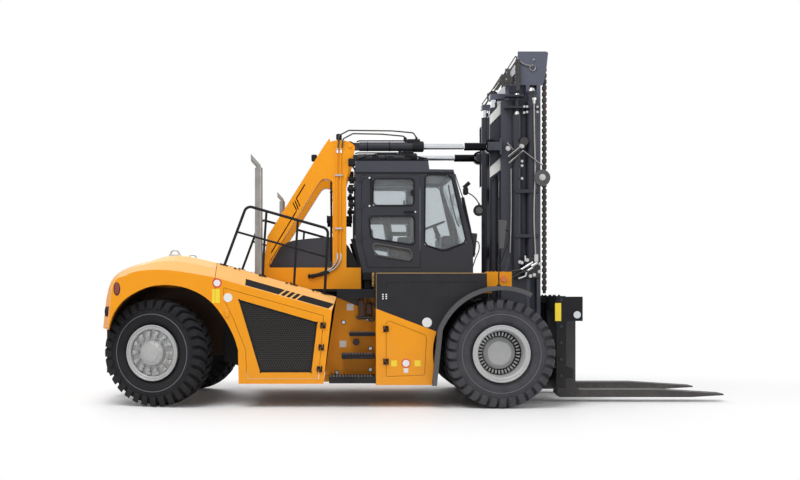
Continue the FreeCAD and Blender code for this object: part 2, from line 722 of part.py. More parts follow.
def build_front_boxes():
    side = [
        ("bay_front_x", "skirt_z"), ("front_axle_x - fender_radius - 17", "skirt_z"),
        ("front_axle_x - fender_radius + 72", "tyre_radius + 340"),
        ("box_front_x", "box_top - 360"), ("box_front_x", "box_top"), ("bay_front_x", "box_top"),
    ]
    hull = slab("box_hull", "XZ", side, "-body_half_width", "-box_inner")
    inside = slab("box_inside", "XZ", [
        ("bay_front_x + panel_wall", "skirt_z + panel_wall"),
        ("front_axle_x - fender_radius - 60", "skirt_z + panel_wall"),
        ("front_axle_x - fender_radius + 10", "tyre_radius + 340"),
        ("box_front_x - 420", "box_top - 330"),
        ("box_front_x - panel_wall", "box_top - 150"),
        ("box_front_x - panel_wall", "box_top - panel_wall"),
        ("bay_front_x + panel_wall", "box_top - panel_wall"),
    ], "-body_half_width + panel_wall", "-box_inner - panel_wall")
    room = rod("box_wheel_room", "Y", ("front_axle_x", "-body_half_width - 5", "tyre_radius"),
               "body_half_width - box_inner + 10", "fender_radius")
    doorway = slab("box_doorway", "XZ", BOX_DOOR, "-body_half_width - 5",
                   "-body_half_width + panel_wall + 5")
    hinges = [
        hinge_halves(f"box_hinge_{index}", "bay_front_x + 145", z, "body_half_width", 1)
        for index, z in enumerate(("skirt_z + 350", "skirt_z + 834"))
    ]
    both_sides("front_side_boxes", joined("box_hinged", cut("box_cut", hull, inside, room, doorway),
                                          *[fixed for fixed, hung in hinges]))
    leaf = slab("box_door_leaf", "XZ", inset(BOX_DOOR, "door_gap"),
                "-body_half_width", "-body_half_width + panel_wall")
    node_pair("box_door", joined("box_door_hung", leaf, *[hung for fixed, hung in hinges]))


def build_fenders():
    def around(name, low, high, radius):
        return rod(name, "Y", ("front_axle_x", low, "tyre_radius"), f"({high}) - ({low})", radius)

    sheet_outer = around("fender_sheet_outer", "-front_outer_face - 10", "-box_inner - 120", "fender_radius")
    sheet_inner = around("fender_sheet_inner", "-front_outer_face - 20", "-box_inner - 110",
                          "fender_radius - fender_sheet")
    lip_outer = around("fender_lip_outer", "-front_outer_face - 10", "-front_outer_face + 10",
                       "fender_radius")
    lip_inner = around("fender_lip_inner", "-front_outer_face - 20", "-front_outer_face + 20",
                        "fender_radius - fender_lip")
    ring = joined("fender_ring", cut("fender_sheet_ring", sheet_outer, sheet_inner),
                  cut("fender_lip_ring", lip_outer, lip_inner))
    away = slab("fender_away", "XZ", [
        ("front_axle_x - fender_radius - 100", "tyre_radius + 340"),
        ("front_axle_x", "tyre_radius + 340"),
        ("front_axle_x + 270", "tyre_radius + 540"),
        ("front_axle_x + fender_radius * 0.62", "tyre_radius + fender_radius * 1.2"),
        ("front_axle_x + fender_radius * 1.3", "tyre_radius + fender_radius * 1.2"),
        ("front_axle_x + fender_radius * 1.3", "tyre_radius - fender_radius * 1.1"),
        ("front_axle_x - fender_radius - 100", "tyre_radius - fender_radius * 1.1"),
    ], "-front_outer_face - 50", "-box_inner")
    skirt = slab("fender_skirt", "XZ", [
        ("front_axle_x - fender_radius - 17", "skirt_z"), ("front_axle_x - fender_radius + 48", "skirt_z"),
        ("front_axle_x - fender_radius + 132", "tyre_radius + 342"),
        ("front_axle_x - fender_radius + 64", "tyre_radius + 342"),
    ], "-front_outer_face - 10", "-front_outer_face + 10")
    sheet_skirt = slab("fender_sheet_skirt", "XZ", [
        ("front_axle_x - fender_radius - 17", "skirt_z"), ("front_axle_x - fender_radius - 5", "skirt_z"),
        ("front_axle_x - fender_radius + 76", "tyre_radius + 342"),
        ("front_axle_x - fender_radius + 64", "tyre_radius + 342"),
    ], "-front_outer_face - 10", "-box_inner - 120")
    box_clear = slab("fender_box_clear", "XZ", [
        ("bay_front_x", "skirt_z - 10"), ("front_axle_x - fender_radius - 17", "skirt_z - 10"),
        ("front_axle_x - fender_radius - 17", "skirt_z"),
        ("front_axle_x - fender_radius + 72", "tyre_radius + 340"),
        ("bay_front_x", "tyre_radius + 340"),
    ], "-body_half_width", "-box_inner")
    arc = cut("fender_arc", ring, away)
    both_sides("front_fenders",
               cut("fender_seated", joined("fender_whole", arc, skirt, sheet_skirt), box_clear))
    lamp = box("lamp_block", ("front_axle_x - 135", "-box_inner - 290", "tyre_radius + 950"),
               ("front_axle_x + 251", "-box_inner - 140", "tyre_radius + 1220"))
    under = around("lamp_under", "-front_outer_face", "-box_inner", "fender_radius")
    both_sides("fender_lamp_boxes", cut("lamp_seated", lamp, under))


# ---------------------------------------------------------------- gantry, rails, stacks, hood

def build_gantry():
    side = slab("gantry_side", "XZ", [
        ("tilt_pin_x + 174", "frame_deck"),
        ("tilt_pin_x + 174", "hood_seat_z"), ("tilt_pin_x - 54", "hood_seat_z"),
        *eased([
            ("tilt_pin_x - 54", "tilt_pin_z - 540"), ("tilt_pin_x + 70", "tilt_pin_z - 90"),
            ("tilt_pin_x + 60", "tilt_pin_z + 10"), ("tilt_pin_x - 40", "tilt_pin_z + 68"),
            ("tilt_pin_x - 180", "tilt_pin_z + 84"), ("tilt_pin_x - 310", "tilt_pin_z + 60"),
            ("tilt_pin_x - 410", "tilt_pin_z - 10"), ("tilt_pin_x - 1290", "tilt_pin_z - 1419"),
        ], straight_ends=True),
        ("tilt_pin_x - 1379", "tilt_pin_z - 2016"), ("tilt_pin_x - 1379", "frame_deck"),
    ], "-gantry_outer", "-gantry_inner", holes=[[
        ("tilt_pin_x - 1270", "hood_seat_z"), ("tilt_pin_x - 1270", "hood_seat_z + 90"),
        *eased([
            ("tilt_pin_x - 500", "tilt_pin_z - 603"), ("tilt_pin_x - 450", "tilt_pin_z - 540"),
            ("tilt_pin_x - 390", "tilt_pin_z - 518"), ("tilt_pin_x - 325", "tilt_pin_z - 528"),
            ("tilt_pin_x - 283", "tilt_pin_z - 560"), ("tilt_pin_x - 271", "tilt_pin_z - 610"),
        ]),
        ("tilt_pin_x - 271", "hood_seat_z"),
    ]])
    slot = box("gantry_slot", ("tilt_pin_x - 130", "-tilt_y - tilt_slot / 2", "tilt_pin_z - 260"),
               ("tilt_pin_x + 120", "-tilt_y + tilt_slot / 2", "tilt_pin_z + 130"))
    pin = rod("gantry_pin", "Y", ("tilt_pin_x", "-gantry_outer - 18", "tilt_pin_z"),
              "gantry_outer - gantry_inner + 36", "tilt_pin_radius")
    right = joined("gantry_right", cut("gantry_slotted", side, slot), pin)
    left = mirrored("gantry_left", right)
    tie = rod("gantry_tie", "Y", ("tilt_pin_x - 245", "-gantry_inner - 10", "tilt_pin_z - 75"),
              "2 * gantry_inner + 20", "80")
    node("tilt_gantry", joined("gantry_whole", right, left, tie))


def build_handrails():
    y = "-shoulder_half_width + 20"
    rear, front = "rear_axle_x + 915", "panel_front_x - 113"
    top = "shoulder_rear_z + 868"
    loop = tube("rail_loop", [
        (rear, y, f"{shoulder_z(rear)} - 20"),
        ("rear_axle_x + 1255", y, top),
        ("panel_front_x - 60", y, "shoulder_front_z + 1030"),
        (front, y, f"{shoulder_z(front)} - 20"),
    ], 21, 95)
    posts = [
        tube(f"rail_post_{index}", [
            (foot, y, f"{shoulder_z(foot)} - 20"), (f"{foot} + 25", y, f"{head} - 500"),
            (f"{foot} + 58", y, head)], 18, 300)
        for index, (foot, head) in enumerate((
            ("rear_axle_x + 1498", "shoulder_rear_z + 790"),
            ("rear_axle_x + 1971", "shoulder_rear_z + 650")))
    ]
    middle = tube("rail_middle", [
        ("rear_axle_x + 1115", y, "shoulder_rear_z + 470"),
        ("rear_axle_x + 1700", y, "shoulder_rear_z + 306"),
        ("panel_front_x - 92", y, "shoulder_rear_z + 95")], 16, 300)
    pads = [
        slab(f"rail_pad_{index}", "XZ", [
            (f"{x} - 55", f"{shoulder_z(f'{x} - 55')} - 2"), (f"{x} + 55", f"{shoulder_z(f'{x} + 55')} - 2"),
            (f"{x} + 55", f"{shoulder_z(f'{x} + 55')} + 12"),
            (f"{x} - 55", f"{shoulder_z(f'{x} - 55')} + 12"),
        ], f"{y} - 45", f"{y} + 45")
        for index, x in enumerate((rear, "rear_axle_x + 1498", "rear_axle_x + 1971", front))
    ]
    whole = joined("rail_whole", loop, middle, *posts, *pads)
    below = under_panel_top("rail_below", f"{y} - 100", f"{y} + 100")
    both_sides("handrails", cut("rail_seated", whole, below))


def build_stacks_and_hood():
    stacks = []
    for label, x, y, top, radius, drop in (
        ("right", "tilt_pin_x - 1415", "-940", "3850", 60, 205),
        ("left", "tilt_pin_x - 1157", "880", "3450", 49, 145),
    ):
        foot, head = "shoulder_front_z", f"{top} - {drop}"
        outer = rod(f"stack_outer_{label}", "Z", (x, y, foot), f"{head} - {foot}", radius)
        inner = rod(f"stack_inner_{label}", "Z", (x, y, f"{head} - 700"), "686", f"{radius} - 8")
        route = [(x, y, f"{head} - 60"), (x, y, f"{head} + 25"), (f"{x} - {drop} * 0.85", y, f"{top} + 15")]
        spout = tube(f"stack_spout_{label}", route, f"{radius} * 0.62", 60)
        bore = tube(f"stack_bore_{label}", route, f"{radius} * 0.62 - 5", 60)
        mouth = slab(f"stack_mouth_{label}", "XZ", [
            (f"{x} - {drop} * 1.3", head), (f"{x} - {drop} * 0.55", head),
            (f"{x} - {drop} * 0.62", f"{top} + 100"), (f"{x} - {drop} * 1.3", f"{top} + 100"),
        ], f"{y} - 70", f"{y} + 70")
        below = under_panel_top(f"stack_below_{label}", f"{y} - 80", f"{y} + 80")
        stacks.append(cut(f"stack_{label}", joined(f"stack_whole_{label}", outer, spout), inner, bore,
                          mouth, below))
    pair = document.addObject("Part::Compound", "stack_pair")
    pair.Links = stacks
    node("exhaust_stacks", pair)
    hood_side = [
        ("hood_rear_x", "hood_seat_z"), ("hood_rear_x", "hood_seat_z + 20"),
        *eased([
            ("hood_rear_x + 175", "hood_seat_z + 333"), ("hood_rear_x + 320", "hood_seat_z + 420"),
            ("hood_rear_x + 541", "hood_seat_z + 460"), ("hood_rear_x + 907", "hood_seat_z + 492"),
        ]),
        ("hood_front_x", "hood_seat_z + 492"), ("hood_front_x", "hood_seat_z"),
    ]
    shell = slab("hood_shell", "XZ", hood_side, "-hood_half_width", "hood_half_width")
    inside = slab("hood_inside", "XZ", [
        ("hood_rear_x + sheet", "hood_seat_z - 10"), ("hood_rear_x + sheet", "hood_seat_z + 14"),
        *eased([
            ("hood_rear_x + 195", "hood_seat_z + 306"), ("hood_rear_x + 332", "hood_seat_z + 392"),
            ("hood_rear_x + 541", "hood_seat_z + 430"), ("hood_rear_x + 907", "hood_seat_z + 462"),
        ]),
        ("hood_front_x - sheet", "hood_seat_z + 462"), ("hood_front_x - sheet", "hood_seat_z - 10"),
    ], "-hood_half_width + sheet", "hood_half_width - sheet")
    line = "hood_rear_x - knuckle_radius - 2"
    fixed, hung = [], []
    for index, side in enumerate((-1, 1)):
        for halves, start, low, high in (
            (fixed, f"{side} * 300", "hood_seat_z - strap_length", "hood_seat_z - 4"),
            (hung, f"{side} * 300 + knuckle_length + bearing_gap", "hood_seat_z + 2", "hood_seat_z + 18"),
        ):
            label = f"hood_hinge_{index}_{len(fixed) - len(hung)}"
            halves.append(rod(f"{label}_knuckle", "Y", (line, start, "hood_seat_z"), "knuckle_length",
                              "knuckle_radius"))
            halves.append(box(f"{label}_strap", ("hood_rear_x - 10", f"{start} + 4", low),
                              ("hood_rear_x + 4", f"{start} + knuckle_length - 4", high)))
    node("engine_hood", joined("hood_hinged", cut("hood_cut", shell, inside), *hung))
    bay = box("bay_outer", ("hood_rear_x", "-hood_half_width", "frame_deck"),
              ("hood_front_x", "hood_half_width", "hood_seat_z - bearing_gap"))
    room = box("bay_inner", ("hood_rear_x + sheet", "-hood_half_width + sheet", "frame_deck - 5"),
               ("hood_front_x - sheet", "hood_half_width - sheet", "hood_seat_z + 5"))
    node("engine_bay_walls", joined("bay_hinged", cut("bay_cut", bay, room), *fixed))
    node("engine_block", box("engine", ("hood_rear_x + 170", "-390", "frame_bottom + 400"),
                             ("hood_front_x - 120", "390", "hood_seat_z + 150")))


# ---------------------------------------------------------------- cab

CAB_SIDE = [
    ("cab_rear_x + 110", "cab_floor_z"), ("cab_rear_x", "cab_floor_z + 430"),
    ("cab_rear_x", "cab_eaves_z"), ("cab_front_x - 300", "cab_eaves_z"),
    ("cab_front_x", "cab_floor_z + 395"), ("cab_front_x", "cab_floor_z"),
]
CAB_DOOR = [
    ("cab_rear_x + 190", "cab_floor_z + 60"), ("cab_rear_x + 90", "cab_floor_z + 440"),
    ("cab_rear_x + 90", "cab_eaves_z - 50"), ("cab_rear_x + 1010", "cab_eaves_z - 50"),
    ("cab_rear_x + 1010", "cab_floor_z + 60"),
]
DOOR_WINDOWS = [
    [("cab_rear_x + 271", "cab_eaves_z - 110"), ("cab_rear_x + 911", "cab_eaves_z - 110"),
     ("cab_rear_x + 911", "cab_eaves_z - 530"), ("cab_rear_x + 271", "cab_eaves_z - 530")],
    [("cab_rear_x + 209", "cab_eaves_z - 693"), ("cab_rear_x + 921", "cab_eaves_z - 693"),
     ("cab_rear_x + 921", "cab_eaves_z - 1150"), ("cab_rear_x + 240", "cab_eaves_z - 1040")],
    [("cab_rear_x + 255", "cab_eaves_z - 1114"), ("cab_rear_x + 876", "cab_eaves_z - 1224"),
     ("cab_rear_x + 876", "cab_eaves_z - 1395"), ("cab_rear_x + 302", "cab_eaves_z - 1302")],
]
QUARTER = [
    ("cab_rear_x + 1082", "cab_eaves_z - 50"), ("cab_front_x - 345", "cab_eaves_z - 50"),
    ("cab_front_x - 105", "cab_floor_z + 460"), ("cab_front_x - 455", "cab_floor_z + 320"),
    ("cab_rear_x + 1074", "cab_floor_z + 420"),
]


def build_cab():
    hull = slab("cab_hull", "XZ", CAB_SIDE, "-cab_half_width", "cab_half_width")
    room = slab("cab_room", "XZ", [
        ("cab_rear_x + 110 + cab_wall", "cab_floor_z - 5"),
        ("cab_rear_x + cab_wall", "cab_floor_z + 436"),
        ("cab_rear_x + cab_wall", "cab_eaves_z + 5"), ("cab_front_x - 300 - cab_wall", "cab_eaves_z + 5"),
        ("cab_front_x - cab_wall", "cab_floor_z + 390"), ("cab_front_x - cab_wall", "cab_floor_z - 5"),
    ], "-cab_half_width + cab_wall", "cab_half_width - cab_wall")
    doorways = both_door_cutters("cab_doorway", CAB_DOOR)
    quarters = both_door_cutters("cab_quarter", QUARTER)
    shield = slab("cab_windscreen_hole", "XZ", [
        ("cab_front_x - 300 - 140", "cab_eaves_z - 60"), ("cab_front_x - 250", "cab_eaves_z - 60"),
        ("cab_front_x + 80", "cab_floor_z + 470"), ("cab_front_x - 160", "cab_floor_z + 470"),
    ], "-cab_half_width + 90", "cab_half_width - 90")
    rear = box("cab_rear_hole", ("cab_rear_x - 10", "-cab_half_width + 150", "cab_floor_z + 700"),
               ("cab_rear_x + cab_wall + 10", "cab_half_width - 150", "cab_eaves_z - 90"))
    hinges = [
        hinge_halves(f"cab_hinge_{index}", "cab_rear_x + 90", z, "cab_half_width", 1)
        for index, z in enumerate(("cab_eaves_z - 112", "cab_eaves_z - 537", "cab_floor_z + 520"))
    ]
    fixed_right = joined("cab_hinges_right", *[fixed for fixed, hung in hinges])
    node("cab_frame", joined("cab_hinged", cut("cab_shell", hull, room, doorways, quarters, shield, rear),
                             fixed_right, mirrored("cab_hinges_left", fixed_right)))
    node("cab_floor", joined("cab_floor_whole",
        box("cab_floor_plate", ("cab_rear_x + 110", "-cab_half_width", "cab_floor_z - 40"),
            ("cab_front_x", "cab_half_width", "cab_floor_z")),
        *[box(f"cab_leg_{i}", (x, y, "frame_deck"), (f"{x} + 90", f"{y} + 90", "cab_floor_z - 35"))
          for i, (x, y) in enumerate((
              ("cab_rear_x + 330", "-frame_outer"), ("cab_rear_x + 330", "frame_y - 50"),
              ("cab_front_x - 160", "-frame_outer"), ("cab_front_x - 160", "frame_y - 50")))]))
    roof = slab("roof_skin", "XZ", [
        ("cab_rear_x", "cab_eaves_z"), ("cab_rear_x", "cab_eaves_z + 165"),
        ("cab_rear_x + 1134", "cab_eaves_z + 165"), ("cab_rear_x + 1150", "cab_eaves_z + 38"),
        ("cab_front_x - 305", "cab_eaves_z + 32"), ("cab_front_x - 300", "cab_eaves_z"),
    ], "-cab_half_width", "cab_half_width")
    node("cab_roof", roof)
    panes = [
        slab("pane_front", "XZ", [
            ("cab_front_x - 300 - 30", "cab_eaves_z - 60"),
            ("cab_front_x - 300 - 30 + pane", "cab_eaves_z - 60"),
            ("cab_front_x - 31 + pane", "cab_floor_z + 470"), ("cab_front_x - 31", "cab_floor_z + 470"),
        ], "-cab_half_width + 90", "cab_half_width - 90"),
        box("pane_rear", ("cab_rear_x + 20", "-cab_half_width + 150", "cab_floor_z + 700"),
            ("cab_rear_x + 20 + pane", "cab_half_width - 150", "cab_eaves_z - 90")),
        slab("pane_quarter_right", "XZ", QUARTER, "-cab_half_width + 20", "-cab_half_width + 20 + pane"),
        slab("pane_quarter_left", "XZ", QUARTER, "cab_half_width - 20 - pane", "cab_half_width - 20"),
    ]
    glass = document.addObject("Part::Compound", "cab_panes")
    glass.Links = panes
    node("cab_glass", glass)
    leaf = slab("cab_door_leaf", "XZ", inset(CAB_DOOR, "door_gap"),
                "-cab_half_width", "-cab_half_width + cab_wall", holes=DOOR_WINDOWS)
    node_pair("cab_door", joined("cab_door_hung", leaf, *[hung for fixed, hung in hinges]))
    door_panes = document.addObject("Part::Compound", "cab_door_panes")
    door_panes.Links = [
        slab(f"door_pane_{i}", "XZ", window, "-cab_half_width + 20", "-cab_half_width + 20 + pane")
        for i, window in enumerate(DOOR_WINDOWS)
    ]
    node_pair("door_glass", door_panes)


def both_door_cutters(name, points):
    """An opening through both side walls of the cab."""
    return joined(
        name,
        slab(name + "_right", "XZ", points, "-cab_half_width - 10", "-cab_half_width + cab_wall + 10"),
        slab(name + "_left", "XZ", points, "cab_half_width - cab_wall - 10", "cab_half_width + 10"),
    )


def build_cab_inside():
    node("seat_pedestal",
         box("seat_box", ("-330", "-230", "cab_floor_z"), ("60", "230", "cab_floor_z + 380")))
    node("driver_seat", slab("seat_cushion", "XZ", [
        ("-350", "cab_floor_z + 380"), ("130", "cab_floor_z + 380"), ("150", "cab_floor_z + 510"),
        ("-230", "cab_floor_z + 490"), ("-330", "cab_floor_z + 1080"), ("-450", "cab_floor_z + 1060"),
    ], "-250", "250"))
    column = tube("column_tube", [
        ("610", "0", "cab_floor_z"), ("560", "0", "cab_floor_z + 420"),
        ("430", "0", "cab_floor_z + 775")], 35, 500)
    wheel = document.addObject("Part::Torus", "column_wheel")
    bind(wheel, "Radius1", "185")
    bind(wheel, "Radius2", "15")
    place(wheel, ("424", "0", "cab_floor_z + 776"), (0, 1, 0), -21)
    spoke = rod("column_spoke", "Y", ("424", "-185", "cab_floor_z + 776"), "370", "11")
    base = box("column_base", ("540", "-80", "cab_floor_z"), ("690", "80", "cab_floor_z + 60"))
    node("steering_column", cut("column_cut", joined("column_whole", column, wheel, spoke, base),
                                box("column_floor", ("400", "-200", "cab_floor_z - 100"),
                                    ("800", "200", "cab_floor_z"))))


# ---------------------------------------------------------------- axles and wheels

def tyre_section(radius, inner, start, end, shoulder, bead):
    """Half of a tyre's cross-section as (radius, distance out) corners."""
    return [
        (inner, f"-({start}) - {bead}"), (f"{radius} * 0.8", f"-({start})"),
        (f"{radius} - {shoulder}", f"-({start}) - 12"), (radius, f"-({start}) - {shoulder} - 12"),
        (radius, f"-({end}) + {shoulder} + 12"), (f"{radius} - {shoulder}", f"-({end}) + 12"),
        (f"{radius} * 0.8", f"-({end})"), (inner, f"-({end}) + {bead}"),
    ]


def build_front_wheels():
    centre = ("front_axle_x", 0, "tyre_radius")
    outer = turned("front_tyre_outer", tyre_section(
        "tyre_radius", "tyre_bore", "front_outer_face - tyre_width", "front_outer_face",
        "tyre_shoulder", 40), centre)
    inner = turned("front_tyre_inner", tyre_section(
        "tyre_radius", "tyre_bore", "inner_tyre_face", "inner_tyre_face + tyre_width",
        "tyre_shoulder", 40), centre)
    pair = document.addObject("Part::Compound", "front_tyres_pair")
    pair.Links = [outer, inner]
    node_pair("front_tyres", pair)
    out, back = "-(front_outer_face)", "-(inner_tyre_face)"
    hub_face = "front_outer_face - hub_recess"
    rim = turned("front_rim_barrel", [
        ("rim_radius", f"{back} - 30"), ("rim_radius", f"{out} + 30"),
        ("rim_radius - rim_wall", f"{out} + 30"), ("rim_radius - rim_wall", f"-({hub_face} - 60)"),
        ("hub_radius", f"-({hub_face} - 60)"), ("hub_radius", f"-({hub_face}) - 20"),
        ("hub_radius - 60", f"-({hub_face}) - 60"), ("0", f"-({hub_face}) - 60"),
        ("0", f"-({hub_face} - 200)"), ("spindle_radius + bearing_gap", f"-({hub_face} - 200)"),
        ("spindle_radius + bearing_gap", f"-({hub_face} - 420)"),
        ("hub_radius", f"-({hub_face} - 420)"), ("hub_radius", f"-({hub_face} - 90)"),
        ("rim_radius - rim_wall", f"-({hub_face} - 90)"), ("rim_radius - rim_wall", f"{back} - 30"),
    ], centre)
    node_pair("front_rims", rim)


def build_drive_axle():
    end = "front_outer_face - hub_recess - 200 - bearing_gap"
    profile = [
        ("0", f"-({end})"), ("spindle_radius", f"-({end})"), ("spindle_radius", "-(inner_tyre_face + 60)"),
        ("axle_tube_radius", "-(inner_tyre_face + 40)"), ("axle_tube_radius", "-350"),
        ("axle_bowl_radius", "-230"), ("axle_bowl_radius", "230"), ("axle_tube_radius", "350"),
        ("axle_tube_radius", "inner_tyre_face + 40"), ("spindle_radius", "inner_tyre_face + 60"),
        ("spindle_radius", end), ("0", end),
    ]
    node("drive_axle", turned("drive_axle_casing", profile, ("front_axle_x", 0, "tyre_radius")))


PARKED = "-steer_parked"


def steered(name, thing, side):
    """Turn a right-hand rear wheel piece about its kingpin to where the truck was parked."""
    thing.Label = name
    return place(thing, ("rear_axle_x", f"{side} * kingpin_y", "tyre_radius"), (0, 0, 1), PARKED)


def build_rear_wheels():
    for side_name, side in (("right", -1), ("left", 1)):
        def out(step, side=side):
            return f"{side} * ({step})"
        inner = "steer_offset - tyre_width / 2"
        outer = "steer_offset + tyre_width / 2"
        section = [(r, out(a)) for r, a in (
            ("tyre_bore", f"{inner} + 40"), ("tyre_radius * 0.8", inner),
            ("tyre_radius - tyre_shoulder", f"{inner} + 12"),
            ("tyre_radius", f"{inner} + tyre_shoulder + 12"),
            ("tyre_radius", f"{outer} - tyre_shoulder - 12"),
            ("tyre_radius - tyre_shoulder", f"{outer} - 12"),
            ("tyre_radius * 0.8", outer), ("tyre_bore", f"{outer} - 40"))]
        tyre = turned(f"rear_tyre_turned_{side_name}", section, ("0", "0", "0"))
        node(f"rear_tyre_{side_name}", steered("", tyre, side))
        rim_points = [(r, out(a)) for r, a in (
            ("rim_radius", f"{inner} + 30"), ("rim_radius", f"{outer} - 30"),
            ("rim_radius - rim_wall", f"{outer} - 30"), ("rim_radius - rim_wall", f"{outer} - 75"),
            ("steer_hub_radius + 50", f"{outer} - 75"), ("steer_hub_radius + 50", f"{outer} - 20"),
            ("steer_hub_radius", f"{outer} + 5"), ("0", f"{outer} + 5"), ("0", f"{outer} - 70"),
            ("steer_spindle_radius + bearing_gap", f"{outer} - 70"),
            ("steer_spindle_radius + bearing_gap", "yoke_radius + 95"),
            ("steer_hub_radius", "yoke_radius + 95"), ("steer_hub_radius", f"{outer} - 105"),
            ("rim_radius - rim_wall", f"{outer} - 105"), ("rim_radius - rim_wall", f"{inner} + 30"))]
        rim = turned(f"rear_rim_turned_{side_name}", rim_points, ("0", "0", "0"))
        node(f"rear_rim_{side_name}", steered("", rim, side))
        build_knuckle(side_name, side)


def build_knuckle(side_name, side):
    """The part that turns on the kingpin and carries one rear wheel's spindle."""
    inside = "yoke_height - yoke_plate - bearing_gap"
    pin = rod(f"knuckle_pin_{side_name}", "Z", ("0", "0", "-yoke_height"), "2 * yoke_height",
              "kingpin_radius")
    post = rod(f"knuckle_post_{side_name}", "Z", ("0", "0", f"-({inside})"), f"2 * ({inside})",
               "yoke_radius - 5")
    length = "steer_offset + tyre_width / 2 - 70 - bearing_gap"
    start = "0" if side > 0 else f"-({length})"
    spindle = rod(f"knuckle_spindle_{side_name}", "Y", ("0", start, "0"), length, "steer_spindle_radius")
    flange_start = "yoke_radius - 20" if side > 0 else "-(yoke_radius + 80)"
    flange = rod(f"knuckle_flange_{side_name}", "Y", ("0", flange_start, "0"), "100", "yoke_radius + 10")
    arm = box(f"knuckle_arm_{side_name}", ("-steer_arm - 50", "-45", "-arm_plate / 2"),
              ("0", "45", "arm_plate / 2"))
    whole = joined(f"knuckle_whole_{side_name}", pin, post, spindle, flange, arm)
    node(f"steering_knuckle_{side_name}", steered("", whole, side))


def build_steer_axle():
    x, z = "rear_axle_x", "tyre_radius"
    inner = "kingpin_y - yoke_radius"
    beam = slab("beam_bar", "XY", [
        (f"{x} - beam_width / 2", f"-({inner}) + 260"), (f"{x} - beam_width / 2", f"{inner} - 260"),
        (f"{x} - 90", f"{inner} + 30"), (f"{x} + 90", f"{inner} + 30"),
        (f"{x} + beam_width / 2", f"{inner} - 260"), (f"{x} + beam_width / 2", f"-({inner}) + 260"),
        (f"{x} + 90", f"-({inner}) - 30"), (f"{x} - 90", f"-({inner}) - 30"),
    ], f"{z} - beam_height / 2", f"{z} + beam_height / 2")
    saddle = box("beam_saddle", (f"{x} - 260", "-220", f"{z} + beam_height / 2 - 20"),
                 (f"{x} + 230", "220", f"{z} + 150"))
    yokes, holes = [], []
    for side_name, side in (("right", -1), ("left", 1)):
        y = f"{side} * kingpin_y"
        for label, low in (("low", f"{z} - yoke_height"), ("high", f"{z} + yoke_height - yoke_plate")):
            yokes.append(rod(f"yoke_{label}_{side_name}", "Z", (x, y, low), "yoke_plate", "yoke_radius"))
            start, end = across(side, f"{inner} - 90", "kingpin_y")
            yokes.append(box(f"yoke_strap_{label}_{side_name}", (f"{x} - 80", start, low),
                             (f"{x} + 80", end, f"{low} + yoke_plate")))
        start, end = across(side, f"{inner} - 90", f"{inner} - 25")
        yokes.append(box(f"yoke_web_{side_name}", (f"{x} - 80", start, f"{z} - yoke_height"),
                         (f"{x} + 80", end, f"{z} + yoke_height")))
        holes.append(rod(f"kingpin_hole_{side_name}", "Z", (x, y, f"{z} - yoke_height - 10"),
                         "2 * yoke_height + 20", "kingpin_radius + pin_gap"))
        holes.append(rod(f"arm_room_{side_name}", "Z", (x, y, f"{z} - arm_plate / 2 - 8"),
                         "arm_plate + 16", "steer_arm + 65"))
        holes.append(rod(f"knuckle_room_{side_name}", "Z", (x, y, f"{z} - yoke_height + yoke_plate"),
                         "2 * (yoke_height - yoke_plate)", "yoke_radius + 15"))
    node("steer_axle", cut("axle_cut", joined("axle_whole", beam, saddle, *yokes), *holes))
    back = f"{x} - steer_arm"
    barrel = rod("steer_barrel_tube", "Y", (back, "-steer_barrel_half", f"{z} - arm_plate - 60"),
                 "2 * steer_barrel_half", "steer_barrel_radius")
    bore = rod("steer_barrel_bore", "Y", (back, "-steer_barrel_half - 10", f"{z} - arm_plate - 60"),
               "2 * steer_barrel_half + 20", "steer_rod_radius + pin_gap")
    bracket = box("steer_barrel_bracket", (back, "-90", f"{z} - arm_plate - 100"),
                  (f"{x} - beam_width / 2", "90", f"{z} - arm_plate - 20"))
    node("steering_cylinder", cut("steer_barrel_cut", joined("steer_barrel_whole", barrel, bracket), bore))
    shift = "steer_arm * 0.82 * steer_parked * 0.01745"
    bar = rod("steer_bar", "Y", (back, f"-(kingpin_y + 20) + {shift}", f"{z} - arm_plate - 60"),
              "2 * (kingpin_y + 20)", "steer_rod_radius")
    node("steering_rod", bar)


# ---------------------------------------------------------------- mast


